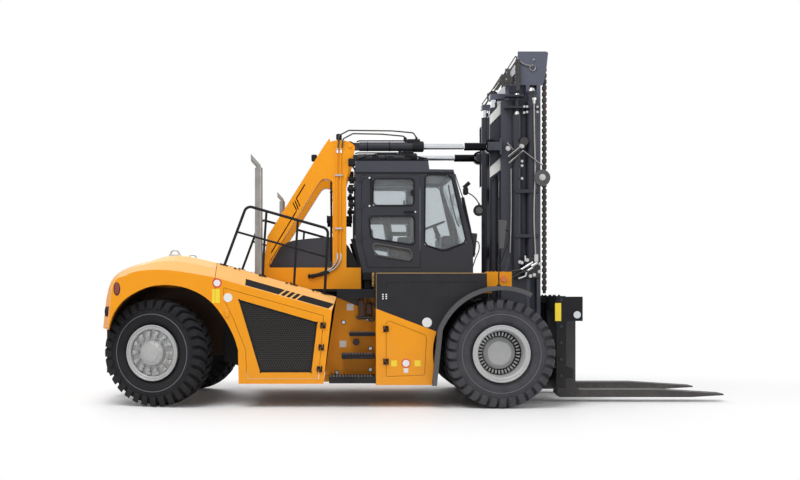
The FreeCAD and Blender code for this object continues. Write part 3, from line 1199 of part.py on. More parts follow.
def build_outer_mast():
    b, w = "mast_back_x", "mast_half_width"
    channel = [
        (b, f"-{w}"), (b, f"-{w} + mast_flange_reach"),
        (f"{b} + mast_flange", f"-{w} + mast_flange_reach"),
        (f"{b} + mast_flange", f"-{w} + mast_web"),
        ("outer_front_x - mast_flange", f"-{w} + mast_web"),
        ("outer_front_x - mast_flange", f"-{w} + mast_flange_reach"),
        ("outer_front_x", f"-{w} + mast_flange_reach"), ("outer_front_x", f"-{w}"),
    ]
    right = slab("outer_rail", "XY", channel, "outer_foot_z", "outer_top_z")
    foot = rod("mast_foot_ring", "Y", ("front_axle_x", f"-{w}", "tyre_radius"), "mast_foot_plate",
               "axle_tube_radius + mast_foot_wall")
    foot_web = box("mast_foot_web", ("front_axle_x", f"-{w}", "tyre_radius - 170"),
                   (f"{b} + 5", f"-{w} + mast_foot_plate", "tyre_radius + 200"))
    foot_hole = rod("mast_foot_hole", "Y", ("front_axle_x", f"-{w} - 10", "tyre_radius"),
                    "mast_foot_plate + 20",
                    "axle_tube_radius + bearing_gap")
    lug_backing = box("tilt_lug_backing", (f"{b} - 30", "-tilt_y - 78", "tilt_pin_z - 130"),
                      (b, "-tilt_y + 78", "tilt_pin_z + 130"))
    cheeks = [
        box(f"tilt_lug_{index}",
            ("mast_lug_x - 60", f"-tilt_y + {start}", "tilt_pin_z - tilt_lug_half_height"),
            ("mast_back_x - 25", f"-tilt_y + {start} + tilt_cheek", "tilt_pin_z + tilt_lug_half_height"))
        for index, start in enumerate((-76, 56))
    ]
    lug_pin = rod("tilt_lug_pin", "Y", ("mast_lug_x", "-tilt_y - 84", "tilt_pin_z"), "168", "tilt_pin_radius")
    anchor_finger = box("chain_anchor", ("inner_front_x - 155", f"-{w} + 45", "chain_anchor_z - 60"),
                        ("inner_front_x - 75", f"-{w} + 140", "chain_anchor_z"))
    anchor_arm = box("chain_anchor_arm", ("outer_front_x - 10", f"-{w}", "chain_anchor_z - 70"),
                     ("inner_front_x - 75", f"-{w} + 47", "chain_anchor_z + 10"))
    seat = box("lift_seat", (f"{b} - 2 * lift_barrel_radius - 20", "-lift_cylinder_y - 85",
                             "lift_seat_z - 50"),
               (b, "-lift_cylinder_y + 85", "lift_seat_z"))
    half = joined("outer_half", cut("outer_foot_cut", joined("outer_foot", foot, foot_web), foot_hole),
                  right, lug_backing, *cheeks, lug_pin, anchor_finger, anchor_arm, seat)
    beams = [
        box(f"outer_beam_{index}", (b, f"-{w} + 150", low), (f"{b} + mast_flange", f"{w} - 150", high))
        for index, (low, high) in enumerate((
            ("outer_foot_z", "outer_foot_z + 260"), ("lift_seat_z - 50", "lift_seat_z + 50"),
            ("mast_beam_low_z", "mast_beam_low_z + mast_beam_low_height"),
            ("mast_beam_middle_z", "mast_beam_middle_z + mast_beam_middle_height"),
            ("mast_beam_lug_z", "mast_beam_lug_z + mast_beam_lug_height"),
            ("outer_top_z - 63", "outer_top_z")))
    ]
    node("outer_mast", joined("outer_whole", half, mirrored("outer_half_left", half), *beams))
    z0, top = "lift_seat_z", "outer_top_z - 93"
    tube_body = rod("lift_tube", "Z", (f"{b} - lift_barrel_radius - 10", "-lift_cylinder_y", z0),
                    f"{top} - ({z0})", "lift_barrel_radius")
    bore = rod("lift_bore", "Z", (f"{b} - lift_barrel_radius - 10", "-lift_cylinder_y", f"{z0} + 40"),
               f"{top} - ({z0})", "lift_rod_radius + pin_gap")
    both_sides("lift_cylinders", cut("lift_barrel", tube_body, bore))


def build_inner_mast():
    b, f, y = "inner_back_x", "inner_front_x", "inner_web_y"
    tip = "flange_y"
    channel = [
        (b, f"-{y}"), (f, f"-{y}"), (f, f"-{tip}"), (f"{f} - mast_flange", f"-{tip}"),
        (f"{f} - mast_flange", f"-{y} - 70"),
        (f"{f} - 170", f"-{y} - 70"), (f"{f} - 170", f"-{tip}"), ("outer_front_x + 15", f"-{tip}"),
        ("outer_front_x + 15", f"-{y} - mast_flange"), (f"{b} + mast_flange", f"-{y} - mast_flange"),
        (f"{b} + mast_flange", f"-{tip}"),
        (b, f"-{tip}"),
    ]
    rail = slab("inner_rail", "XY", channel, "inner_foot_z", "inner_rail_top")
    plate = slab("inner_head", "XZ", [
        ("inner_back_x + 190", "inner_rail_top - 20"), (f"{f} + 30", "inner_rail_top - 20"),
        (f"{f} + 55", "inner_rail_top + 40"), (f"{f} + 88", "inner_rail_top + 190"),
        (f"{f} + 121", "inner_top_z - 20"), (f"{f} + 90", "inner_top_z"),
        ("inner_back_x + 200", "inner_top_z"),
    ], "-flange_y", "-flange_y + head_plate")
    plate_in = slab("inner_head_in", "XZ", [
        ("inner_back_x + 190", "inner_rail_top - 20"), (f"{f} - 5", "inner_rail_top - 20"),
        (f"{f} + 60", "inner_top_z - 40"), ("inner_back_x + 200", "inner_top_z - 40"),
    ], "-inner_web_y - 40", "-inner_web_y")
    axle = rod("sheave_axle", "Y", ("sheave_x", "-flange_y - 5", "sheave_z"),
               "flange_y - inner_web_y + 10", "sheave_bore")
    pads = [
        box(f"inner_pad_{index}", (f"{b} + 5", f"-{tip} - 10 + bearing_gap", low),
            (f"{b} + 55", f"-{tip} + 5", f"{low} + 160"))
        for index, low in enumerate(("inner_foot_z + 60", "inner_foot_z + 1900"))
    ]
    bracket = box("rod_bracket", ("mast_back_x - 2 * lift_barrel_radius - 10", f"-{y} - 110",
                                  "outer_top_z + 40"),
                  (f"{b} + 40", f"-{y} + 50", "outer_top_z + 120"))
    half = joined("inner_half", rail, plate, plate_in, axle, bracket, *pads)
    beams = [
        box(f"inner_beam_{index}", (b, f"-{y} - 5", low), (f"{b} + mast_flange", f"{y} + 5", high))
        for index, (low, high) in enumerate((
            ("inner_foot_z", "inner_foot_z + inner_beam_height"),
            ("inner_beam_z", "inner_beam_z + inner_beam_height"),
            ("outer_top_z + 60", "inner_rail_top")))
    ]
    head = box("inner_head_beam", ("inner_back_x + 240", f"-{y} - 5", "inner_top_z - 240"),
               ("inner_back_x + 330", f"{y} + 5", "inner_top_z - 60"))
    node("inner_mast", joined("inner_whole", half, mirrored("inner_half_left", half), *beams, head))
    rod_x = "mast_back_x - lift_barrel_radius - 10"
    both_sides("lift_rods", rod("lift_bar", "Z", (rod_x, "-lift_cylinder_y", "lift_rod_foot_z"),
                                "outer_top_z + 40 - lift_rod_foot_z", "lift_rod_radius"))
    wheel = turned("sheave_wheel", [
        ("sheave_bore", "-22"), ("sheave_bore", "22"), ("sheave_radius + 12", "38"),
        ("sheave_radius + 12", "31"),
        ("sheave_radius - chain_thickness / 2", "31"), ("sheave_radius - chain_thickness / 2", "-31"),
        ("sheave_radius + 12", "-31"), ("sheave_radius + 12", "-38"),
    ], ("sheave_x", "-flange_y + chain_inset", "sheave_z"))
    both_sides("chain_sheaves", wheel)
    chain_y = "-flange_y + chain_inset"
    half_w = "chain_width / 2"
    front = "sheave_x + sheave_radius"
    back = "sheave_x - sheave_radius"
    both_sides("front_chains", box("front_chain", (f"{front} - chain_thickness / 2",
                                                   f"{chain_y} - {half_w}", "carriage_top - 20"),
                                   (f"{front} + chain_thickness / 2", f"{chain_y} + {half_w}", "sheave_z")))
    both_sides("rear_chains", box("rear_chain", (f"{back} - chain_thickness / 2",
                                                 f"{chain_y} - {half_w}", "chain_anchor_z"),
                                  (f"{back} + chain_thickness / 2", f"{chain_y} + {half_w}", "sheave_z")))


def build_carriage():
    c = "carriage_back_x"
    half = "carriage_half_width"
    upper = box("carriage_upper", (c, f"-{half}", "carriage_top - 200"), (f"{c} + 140", half, "carriage_top"))
    lower = box("carriage_lower", (c, f"-{half}", "carriage_foot_z"),
                (f"{c} + 100", half, "carriage_bar_top"))
    rest = box("carriage_rest", (f"{c} + 90", f"-{half}", "carriage_bar_top - 148"),
               ("shaft_face_x - bearing_gap", half, "carriage_bar_top"))
    posts, lugs = [], []
    for side_name, side in (("right", -1), ("left", 1)):
        low, high = across(side, "inner_web_y - 70", "inner_web_y - 8")
        posts.append(box(f"carriage_side_{side_name}", ("inner_back_x + 80", low, "carriage_foot_z + 40"),
                         (f"{c} + 10", high, "carriage_top - 60")))
        low, high = across(side, "carriage_post_inner", "carriage_post_outer")
        posts.append(box(f"carriage_post_{side_name}", (c, low, "carriage_foot_z"),
                         (f"{c} + 130", high, "carriage_top - 100")))
        low, high = across(side, "inner_web_y - 12", "inner_web_y - bearing_gap")
        posts += [box(f"carriage_pad_{side_name}_{index}", ("inner_back_x + 120", low, z),
                      ("inner_back_x + 260", high, f"{z} + 120"))
                  for index, z in enumerate(("carriage_foot_z + 70", "carriage_top - 220"))]
        low, high = across(side, "flange_y - chain_inset - 45", "flange_y - chain_inset + 45")
        lugs.append(box(f"chain_lug_{side_name}", ("inner_front_x + 15", low, "carriage_top - 110"),
                        (f"{c} + 5", high, "carriage_top - 20")))
        low, high = across(side, f"{half} - carriage_end_plate", half)
        lugs.append(box(f"shaft_plate_{side_name}", (f"{c} + 130", low, "shaft_z - 95"),
                        ("shaft_x + 90", high, "carriage_top - 10")))
        low, high = across(side, f"{half} - carriage_end_plate", half)
        lugs.append(box(f"end_plate_{side_name}", (c, low, "carriage_foot_z"),
                        (f"{c} + 140", high, "carriage_top - 150")))
    middle = box("shaft_plate_middle", (f"{c} + 130", "-50", "shaft_z - 95"),
                 ("shaft_x + 90", "50", "carriage_top - 10"))
    bore = rod("shaft_bore", "Y", ("shaft_x", f"-{half} - 10", "shaft_z"), f"2 * {half} + 20",
               "shaft_radius + pin_gap / 3")
    node("fork_carriage",
         cut("carriage_cut", joined("carriage_whole", upper, lower, rest, middle, *posts, *lugs), bore))
    node("fork_shaft",
         rod("shaft_bar", "Y", ("shaft_x", f"-{half} - 25", "shaft_z"), f"2 * {half} + 50", "shaft_radius"))


def build_forks():
    x, low = "shaft_face_x", "fork_bottom"
    front = f"{x} + shank_thickness"
    blade = slab("fork_blade", "XZ", [
        (x, "shaft_z - 60"), (x, f"{low} + 330"), (f"{x} - 120", f"{low} + 200"),
        (f"{x} - 140", f"{low} + 60"),
        (f"{x} - 90", low), ("tip_x - 500", low), ("tip_x", f"{low} + 30"),
        ("tip_x", f"{low} + 30 + fork_tip_depth"),
        (f"{front} + 1300", f"{low} + fork_thickness"), (f"{front} + 60", f"{low} + fork_thickness"),
        (f"{front} + 10", f"{low} + fork_thickness + 50"), (front, f"{low} + fork_thickness + 110"),
        (front, "shaft_z - 60"),
    ], "-fork_y - fork_width / 2", "-fork_y + fork_width / 2")
    ring = rod("fork_eye", "Y", ("shaft_x", "-fork_y - fork_width / 2 + 40", "shaft_z"),
               "fork_width - 80", "shaft_radius + 42")
    neck = box("fork_neck", (f"{x} + 5", "-fork_y - fork_width / 2 + 40", "shaft_z - 120"),
               (f"{front} - 20", "-fork_y + fork_width / 2 - 40", "shaft_z"))
    bore = rod("fork_bore", "Y", ("shaft_x", "-fork_y - fork_width", "shaft_z"), "2 * fork_width",
               "shaft_radius + bearing_gap")
    node_pair("fork", cut("fork_cut", joined("fork_whole", blade, ring, neck), bore))


def build_tilt_cylinders():
    y, z = "-tilt_y", "tilt_pin_z"
    eye = rod("barrel_eye", "Y", ("tilt_pin_x", f"{y} - tilt_eye_width / 2", z), "tilt_eye_width",
              "tilt_eye_radius")
    neck = box("barrel_neck", ("tilt_pin_x", f"{y} - tilt_eye_width / 2", f"{z} - 55"),
               ("tilt_pin_x + 160", f"{y} + tilt_eye_width / 2", f"{z} + 55"))
    barrel = rod("barrel_tube", "X", ("tilt_pin_x + 150", y, z), "1019", "tilt_barrel_radius")
    hole = rod("barrel_pin_hole", "Y", ("tilt_pin_x", f"{y} - 100", z), "200", "tilt_pin_radius + pin_gap")
    bore = rod("barrel_bore", "X", ("tilt_pin_x + 180", y, z), "1100", "tilt_rod_radius + pin_gap")
    both_sides("tilt_barrels", cut("barrel_cut", joined("barrel_whole", eye, neck, barrel), hole, bore))
    hoses = [
        tube(f"tilt_hose_{index}", [
            (f"tilt_pin_x - {start}", "-gantry_outer - 25", "tilt_pin_z - 40"),
            (f"tilt_pin_x - {start} + 15", "-gantry_outer - 25", f"tilt_pin_z + {crest} - 90"),
            (f"tilt_pin_x - {start} + 170", f"{y} - 100", f"tilt_pin_z + {crest}"),
            (f"tilt_pin_x + {end} - 400", f"{y} - 50", f"tilt_pin_z + {crest}"),
            (f"tilt_pin_x + {end} - 60", f"{y} - 15", f"tilt_pin_z + {crest} - 25"),
            (f"tilt_pin_x + {end}", y, "tilt_pin_z + tilt_barrel_radius + 60"),
            (f"tilt_pin_x + {end}", y, "tilt_pin_z + tilt_barrel_radius + bearing_gap"),
        ], "hose_radius", 50)
        for index, (start, end, crest) in enumerate(((186, 1064, 242), (123, 900, 190)))
    ]
    both_sides("tilt_hoses", joined("tilt_hose_set", *hoses))
    eye_x = "mast_lug_x"
    stem = rod("tilt_stem", "X", ("tilt_pin_x + 760", y, z), f"{eye_x} - tilt_pin_x - 760 - 300",
               "tilt_rod_radius")
    head = rod("tilt_head", "X", (f"{eye_x} - 435", y, z), "345", "62")
    rod_eye = rod("tilt_rod_eye", "Y", (eye_x, f"{y} - tilt_eye_width / 2", z), "tilt_eye_width",
                  "rod_eye_radius")
    hole = rod("tilt_rod_hole", "Y", (eye_x, f"{y} - 100", z), "200", "rod_eye_bore")
    both_sides("tilt_rods", cut("tilt_rod_cut", joined("tilt_rod_whole", stem, head, rod_eye), hole))


def finish():
    document.recompute()
    for thing in document.Objects:
        state = list(thing.State)
        if "Invalid" in state or "Error" in state:
            raise RuntimeError(f"{thing.Name} failed: {state}")
    os.makedirs("parts", exist_ok=True)
    for thing in nodes:
        shape = thing.Shape
        if shape.isNull() or not shape.isValid() or not shape.Solids:
            raise RuntimeError(f"{thing.Label} has no sound solid")
    for thing in nodes:
        thing.Shape.exportStep(f"parts/{thing.Label}.step")
        box_size = thing.Shape.BoundBox
        print(f"{thing.Label}: {len(thing.Shape.Solids)} solids, "
              f"x {box_size.XMin:.0f}..{box_size.XMax:.0f}, y {box_size.YMin:.0f}..{box_size.YMax:.0f}, "
              f"z {box_size.ZMin:.0f}..{box_size.ZMax:.0f}")


build_frame()
build_counterweight()
build_side_panels()
build_steps_and_deck()
build_front_boxes()
build_fenders()
build_gantry()
build_handrails()
build_stacks_and_hood()
build_cab()
build_cab_inside()
build_front_wheels()
build_drive_axle()
build_rear_wheels()
build_steer_axle()
build_outer_mast()
build_inner_mast()
build_carriage()
build_forks()
build_tilt_cylinders()
finish()
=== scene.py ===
# %% [markdown]
# # A heavy forklift truck
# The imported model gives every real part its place. This lesson dresses it: paint, rubber, glass and
# steel are built as node materials, and the small fittings are modelled with bmesh operators on top.

# %% Load the frame and note the truck's size
import json
import math
import bmesh
import bpy
from mathutils import Matrix, Vector


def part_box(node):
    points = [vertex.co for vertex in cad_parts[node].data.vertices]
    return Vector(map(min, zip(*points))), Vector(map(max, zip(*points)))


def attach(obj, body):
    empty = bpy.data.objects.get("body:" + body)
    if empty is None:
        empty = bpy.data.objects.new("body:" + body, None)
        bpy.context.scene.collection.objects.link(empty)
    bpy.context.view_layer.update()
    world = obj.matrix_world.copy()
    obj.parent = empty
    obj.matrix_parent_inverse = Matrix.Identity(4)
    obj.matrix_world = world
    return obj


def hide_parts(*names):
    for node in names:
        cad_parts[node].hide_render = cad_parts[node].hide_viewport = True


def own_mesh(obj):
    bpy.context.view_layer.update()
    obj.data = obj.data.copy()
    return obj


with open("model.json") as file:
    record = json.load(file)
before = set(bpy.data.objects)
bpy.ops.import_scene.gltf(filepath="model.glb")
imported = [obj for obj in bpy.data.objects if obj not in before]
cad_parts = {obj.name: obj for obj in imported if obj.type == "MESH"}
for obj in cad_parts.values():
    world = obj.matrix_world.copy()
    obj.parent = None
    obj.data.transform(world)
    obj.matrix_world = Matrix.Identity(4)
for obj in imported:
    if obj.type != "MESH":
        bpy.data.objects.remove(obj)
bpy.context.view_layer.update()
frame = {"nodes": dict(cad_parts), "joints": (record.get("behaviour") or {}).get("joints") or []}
SIDES = (("right", -1), ("left", 1))

# %% [markdown]
# A long lens far from the truck keeps its uprights parallel. The lens is shifted rather than tilted,
# as a studio camera's is, so nothing leans.

# %% Camera
scene = bpy.context.scene
scene.view_settings.view_transform = "Standard"
camera_data = bpy.data.cameras.new("camera")
camera_data.sensor_width = 36
camera_data.lens = 42.84
camera_data.shift_x = 0.0775
camera_data.shift_y = 0.0675
camera_data.clip_end = 200
camera = bpy.data.objects.new("camera", camera_data)
camera.location = (-1.155, -15.7, 1.69)
camera.rotation_euler = (math.radians(90), 0, 0)
scene.collection.objects.link(camera)
scene.camera = camera
print("camera at", tuple(camera.location))

# %% [markdown]
# Three large soft lamps light the truck. The sky is plain white to the camera and to reflections, but
# gives the truck only half of that light, or it would wash the shadow out. The floor is one large
# sheet that belongs to the studio, not to the truck.

# %% Soft studio light and a floor
SKY_LIGHT = 0.55
FLOOR_REACH = 60


def area_lamp(name, place, aim, size, power):
    """A large soft lamp that faces a point."""
    lamp = bpy.data.lights.new(name, "AREA")
    lamp.size = size
    lamp.energy = power
    holder = bpy.data.objects.new(name, lamp)
    holder.location = place
    holder.rotation_euler = (Vector(aim) - Vector(place)).to_track_quat("-Z", "Y").to_euler()
    scene.collection.objects.link(holder)


def math_node(tree, operation, first, second, clamp=False):
    """A Math node whose two inputs are sockets or numbers."""
    node = tree.nodes.new("ShaderNodeMath")
    node.operation = operation
    node.use_clamp = clamp
    for index, value in enumerate((first, second)):
        if isinstance(value, (int, float)):
            node.inputs[index].default_value = value
        else:
            tree.links.new(value, node.inputs[index])
    return node.outputs[0]


def object_of(name, mesh):
    """Put a finished bmesh into the scene as an object of its own."""
    data = bpy.data.meshes.new(name)
    mesh.to_mesh(data)
    mesh.free()
    thing = bpy.data.objects.new(name, data)
    scene.collection.objects.link(thing)
    return thing


area_lamp("key_lamp", (-5, -8, 15), (0, 0, 1.5), 9, 1650)
area_lamp("front_lamp", (13, -7, 6), (0, 0, 2), 8, 420)
area_lamp("back_lamp", (-4, 14, 10), (0, 0, 2), 9, 700)

world = bpy.data.worlds.new("studio")
scene.world = world
world.use_nodes = True
sky = world.node_tree
backdrop = sky.nodes["Background"]
backdrop.inputs["Color"].default_value = (1, 1, 1, 1)
rays = sky.nodes.new("ShaderNodeLightPath")
seen = math_node(sky, "ADD", rays.outputs["Is Camera Ray"], rays.outputs["Is Transmission Ray"], True)
seen = math_node(sky, "MAXIMUM", seen, rays.outputs["Is Glossy Ray"])
strength = sky.nodes.new("ShaderNodeMix")
strength.inputs["A"].default_value = SKY_LIGHT
strength.inputs["B"].default_value = 1.0
sky.links.new(seen, strength.inputs["Factor"])
sky.links.new(strength.outputs["Result"], backdrop.inputs["Strength"])

floor_mesh = bmesh.new()
bmesh.ops.create_grid(floor_mesh, x_segments=1, y_segments=1, size=FLOOR_REACH)
floor = object_of("floor", floor_mesh)
print("lamps", len(bpy.data.lights), "and a floor of", 2 * FLOOR_REACH, "m")

# %% [markdown]
# Most finishes share three effects: faint wavy unevenness, road dust that gathers low down, and
# small speckles. Each effect is one node group with named sockets, placed in a material with its
# own values.

# %% Shared node groups
def new_group(name, inputs, outputs):
    """A shader group with float or colour sockets and its input and output nodes."""
    group = bpy.data.node_groups.new(name, "ShaderNodeTree")
    for title, kind, value in inputs:
        socket = group.interface.new_socket(title, in_out="INPUT", socket_type=kind)
        socket.default_value = value
    for title, kind in outputs:
        group.interface.new_socket(title, in_out="OUTPUT", socket_type=kind)
    return group, group.nodes.new("NodeGroupInput"), group.nodes.new("NodeGroupOutput")


def noise_node(tree, scale, detail, stretch=(1, 1, 1)):
    """Noise in the object's own coordinates, stretched along an axis where asked."""
    place = tree.nodes.new("ShaderNodeTexCoord")
    mapping = tree.nodes.new("ShaderNodeMapping")
    mapping.inputs["Scale"].default_value = stretch
    tree.links.new(place.outputs["Object"], mapping.inputs["Vector"])
    noise = tree.nodes.new("ShaderNodeTexNoise")
    noise.inputs["Detail"].default_value = detail
    if isinstance(scale, (int, float)):
        noise.inputs["Scale"].default_value = scale
    else:
        tree.links.new(scale, noise.inputs["Scale"])
    tree.links.new(mapping.outputs["Vector"], noise.inputs["Vector"])
    return noise.outputs["Fac"]


def axes_of(tree, output="Object"):
    """The x, y and z of a place on the object, or of the way its surface faces."""
    place = tree.nodes.new("ShaderNodeTexCoord")
    split = tree.nodes.new("ShaderNodeSeparateXYZ")
    tree.links.new(place.outputs[output], split.inputs[0])
    return split.outputs


def color_mix(tree, mask):
    """A node that mixes two colours by a mask."""
    mix = tree.nodes.new("ShaderNodeMix")
    mix.data_type = "RGBA"
    tree.links.new(mask, mix.inputs["Factor"])
    return mix


def build_weather():
    """Dust that gathers low and in patches: mixes a dust colour over the paint."""
    group, ins, outs = new_group("road_dust", [
        ("Paint", "NodeSocketColor", (0.5, 0.5, 0.5, 1)),
        ("Dust", "NodeSocketColor", (0.35, 0.3, 0.24, 1)),
        ("Amount", "NodeSocketFloat", 0.3),
        ("Height", "NodeSocketFloat", 1.2),
        ("Base Roughness", "NodeSocketFloat", 0.4),
    ], [("Color", "NodeSocketColor"), ("Roughness", "NodeSocketFloat")])
    low = math_node(group, "DIVIDE", axes_of(group)["Z"], ins.outputs["Height"])
    low = math_node(group, "SUBTRACT", 1.0, low, True)
    patches = noise_node(group, 3.0, 6.0)
    fine = noise_node(group, 40.0, 3.0)
    both = math_node(group, "MULTIPLY", patches, fine)
    both = math_node(group, "MULTIPLY", both, 3.2)
    veil = math_node(group, "ADD", low, 0.28)
    mask = math_node(group, "MULTIPLY", both, veil)
    mask = math_node(group, "MULTIPLY", mask, ins.outputs["Amount"], True)
    mix = color_mix(group, mask)
    group.links.new(ins.outputs["Paint"], mix.inputs["A"])
    group.links.new(ins.outputs["Dust"], mix.inputs["B"])
    group.links.new(mix.outputs["Result"], outs.inputs["Color"])
    rough = math_node(group, "MULTIPLY", mask, 0.5)
    rough = math_node(group, "ADD", rough, ins.outputs["Base Roughness"], True)
    group.links.new(rough, outs.inputs["Roughness"])
    return group


def build_tone():
    """Slow tone drift: paint and rubber are never one even colour."""
    group, ins, outs = new_group("tone_drift", [
        ("Color", "NodeSocketColor", (0.5, 0.5, 0.5, 1)),
        ("Scale", "NodeSocketFloat", 2.0),
        ("Strength", "NodeSocketFloat", 0.1),
    ], [("Color", "NodeSocketColor")])
    drift = noise_node(group, ins.outputs["Scale"], 4.0)
    centred = math_node(group, "SUBTRACT", drift, 0.5)
    scaled = math_node(group, "MULTIPLY", centred, ins.outputs["Strength"])
    factor = math_node(group, "ADD", scaled, 1.0)
    tint = group.nodes.new("ShaderNodeVectorMath")
    tint.operation = "SCALE"
    group.links.new(ins.outputs["Color"], tint.inputs[0])
    group.links.new(factor, tint.inputs["Scale"])
    group.links.new(tint.outputs[0], outs.inputs["Color"])
    return group


def build_grain():
    """Fine surface height: orange peel in paint, pores in cast iron and rubber."""
    group, ins, outs = new_group("fine_grain", [
        ("Scale", "NodeSocketFloat", 60.0),
        ("Coarse", "NodeSocketFloat", 0.4),
    ], [("Height", "NodeSocketFloat")])
    fine = noise_node(group, ins.outputs["Scale"], 3.0)
    slow = noise_node(group, 4.0, 2.0)
    slow = math_node(group, "MULTIPLY", slow, ins.outputs["Coarse"])
    group.links.new(math_node(group, "ADD", fine, slow), outs.inputs["Height"])
    return group


ROAD_DUST = build_weather()
TONE_DRIFT = build_tone()
FINE_GRAIN = build_grain()
print("groups", [group.name for group in (ROAD_DUST, TONE_DRIFT, FINE_GRAIN)])

# %% [markdown]
# One function builds every opaque finish from the same recipe: base colour, tone drift, dust,
# grain. The values set what it is: gloss paint has a clear coat and little grain, rubber is rough.

# %% A recipe for opaque finishes
def placed(tree, group, **values):
    """A group node with its values set by name."""
    node = tree.nodes.new("ShaderNodeGroup")
    node.node_tree = group
    for title, value in values.items():
        node.inputs[title.replace("_", " ")].default_value = value
    return node


def finish_of(name, color, roughness, metal=0.0, coat=0.0, drift=0.12, dust=0.3, grain=0.02,
              grain_scale=60.0, dust_height=1.2, drift_scale=2.0, gloss=0.5):
    """A Principled material with tone drift, dust and grain over its base colour."""
    material = bpy.data.materials.new(name)
    material.use_nodes = True
    tree = material.node_tree
    shader = tree.nodes["Principled BSDF"]
    shader.inputs["Metallic"].default_value = metal
    shader.inputs["Specular IOR Level"].default_value = gloss
    shader.inputs["Coat Weight"].default_value = coat
    shader.inputs["Coat Roughness"].default_value = 0.12
    tone = placed(tree, TONE_DRIFT, Color=(*color, 1), Scale=drift_scale, Strength=drift)
    film = placed(tree, ROAD_DUST, Amount=dust, Height=dust_height, Base_Roughness=roughness)
    tree.links.new(tone.outputs["Color"], film.inputs["Paint"])
    tree.links.new(film.outputs["Color"], shader.inputs["Base Color"])
    tree.links.new(film.outputs["Roughness"], shader.inputs["Roughness"])
    rough = placed(tree, FINE_GRAIN, Scale=grain_scale)
    bump = tree.nodes.new("ShaderNodeBump")
    bump.inputs["Strength"].default_value = 0.5
    bump.inputs["Distance"].default_value = grain
    tree.links.new(rough.outputs["Height"], bump.inputs["Height"])
    tree.links.new(bump.outputs["Normal"], shader.inputs["Normal"])
    return material


def paint_mask(material, build):
    """Put a second paint where a mask says, between the tone drift and the dust."""
    tree = material.node_tree
    tone = next(n for n in tree.nodes if n.type == "GROUP" and n.node_tree == TONE_DRIFT)
    mask, other = build(tree)
    mix = color_mix(tree, mask)
    if tone.inputs["Color"].is_linked:
        tree.links.new(tone.inputs["Color"].links[0].from_socket, mix.inputs["A"])
    else:
        mix.inputs["A"].default_value = tone.inputs["Color"].default_value[:]
    mix.inputs["B"].default_value = (*other, 1)
    tree.links.new(mix.outputs["Result"], tone.inputs["Color"])


ORANGE = (0.82, 0.31, 0.008)
CHARCOAL = (0.024, 0.026, 0.036)
DARK_PANEL = (0.015, 0.015, 0.020)
BLACK = (0.008, 0.009, 0.012)
# This cream is a painted sheen: the pale shine of paint that faces the sky.
PAINTED_SHEEN = (0.86, 0.58, 0.28)
# This dark brown is painted shade inside the rear wheel arches.
ARCH_SHADE = (0.035, 0.016, 0.007)
CHROME = (0.62, 0.64, 0.67)

orange_paint = finish_of("orange_paint", ORANGE, 0.45, gloss=0.16, coat=0.06, drift=0.10,
                         dust=0.05, grain=0.0008)
charcoal_paint = finish_of("charcoal_paint", CHARCOAL, 0.45, gloss=0.25, coat=0.06, drift=0.25,
                           dust=0.05, grain=0.0008)
black_paint = finish_of("black_paint", BLACK, 0.5, gloss=0.13, coat=0.03, drift=0.3, dust=0.06,
                        grain=0.001)
mast_paint = finish_of("mast_paint", (0.040, 0.043, 0.058), 0.45, gloss=0.3, coat=0.06, drift=0.4,
                       dust=0.05,
                       grain=0.0008, drift_scale=1.2)
mast_head_paint = finish_of("mast_head_paint", (0.085, 0.092, 0.125), 0.45, gloss=0.3, drift=0.3,
                            dust=0.05,
                            grain=0.0008, drift_scale=3)
pale_tie = finish_of("pale_tie", (0.62, 0.62, 0.60), 0.6, drift=0.25, dust=0.1, grain=0.001,
                     drift_scale=8)
fender_grey = finish_of("fender_grey", (0.055, 0.055, 0.06), 0.5, drift=0.3, dust=0.1, grain=0.001)
fork_paint = finish_of("fork_paint", (0.030, 0.030, 0.034), 0.5, gloss=0.3, drift=0.5, dust=0.1,
                       grain=0.001, drift_scale=3)
rust_brown = finish_of("rust_brown", (0.06, 0.022, 0.012), 0.6, drift=0.5, dust=0.1, grain=0.002,
                       drift_scale=9)
# This pale bluish grey is a painted highlight along the thin ridge round each tyre's side.
highlight_rubber = finish_of("highlight_rubber", (0.10, 0.105, 0.12), 0.7, drift=0.4, dust=0.05, grain=0.002)
tyre_rubber = finish_of("tyre_rubber", (0.012, 0.0125, 0.016), 0.75, gloss=0.16, drift=0.6,
                        dust=0.03, grain=0.003,
                        grain_scale=45, dust_height=1.9, drift_scale=5)
# The front tyres' lighter bluish grey is a painted sheen on their sidewalls.
sheen_grey_rubber = finish_of("sheen_grey_rubber", (0.044, 0.045, 0.054), 0.75, gloss=0.25, drift=0.8,
                        dust=0.04, grain=0.004,
                        grain_scale=45, dust_height=1.9, drift_scale=6)
rim_paint = finish_of("rim_paint", (0.42, 0.43, 0.44), 0.42, metal=0.25, drift=0.25, dust=0.3,
                      grain=0.002, drift_scale=9)
rod_chrome = finish_of("rod_chrome", CHROME, 0.14, metal=1.0, drift=0.08, dust=0.05, grain=0.0003)
stack_steel = finish_of("stack_steel", (0.30, 0.29, 0.28), 0.42, metal=0.85, drift=0.7, dust=0.1,
                        grain=0.002, drift_scale=6)
chain_steel = finish_of("chain_steel", (0.055, 0.05, 0.046), 0.45, metal=0.7, drift=0.4, dust=0.2,
                        grain=0.002)
chain_brown = finish_of("chain_brown", (0.040, 0.028, 0.024), 0.55, metal=0.3, drift=0.6, dust=0.1,
                        grain=0.002, drift_scale=9)
engine_iron = finish_of("engine_iron", (0.05, 0.05, 0.052), 0.6, metal=0.3, drift=0.4, dust=0.4,
                        grain=0.006)
seat_cloth = finish_of("seat_cloth", (0.03, 0.03, 0.034), 0.9, drift=0.3, dust=0.1, grain=0.003,
                       grain_scale=400)
hose_rubber = finish_of("hose_rubber", (0.014, 0.014, 0.015), 0.5, drift=0.2, dust=0.2, grain=0.001)
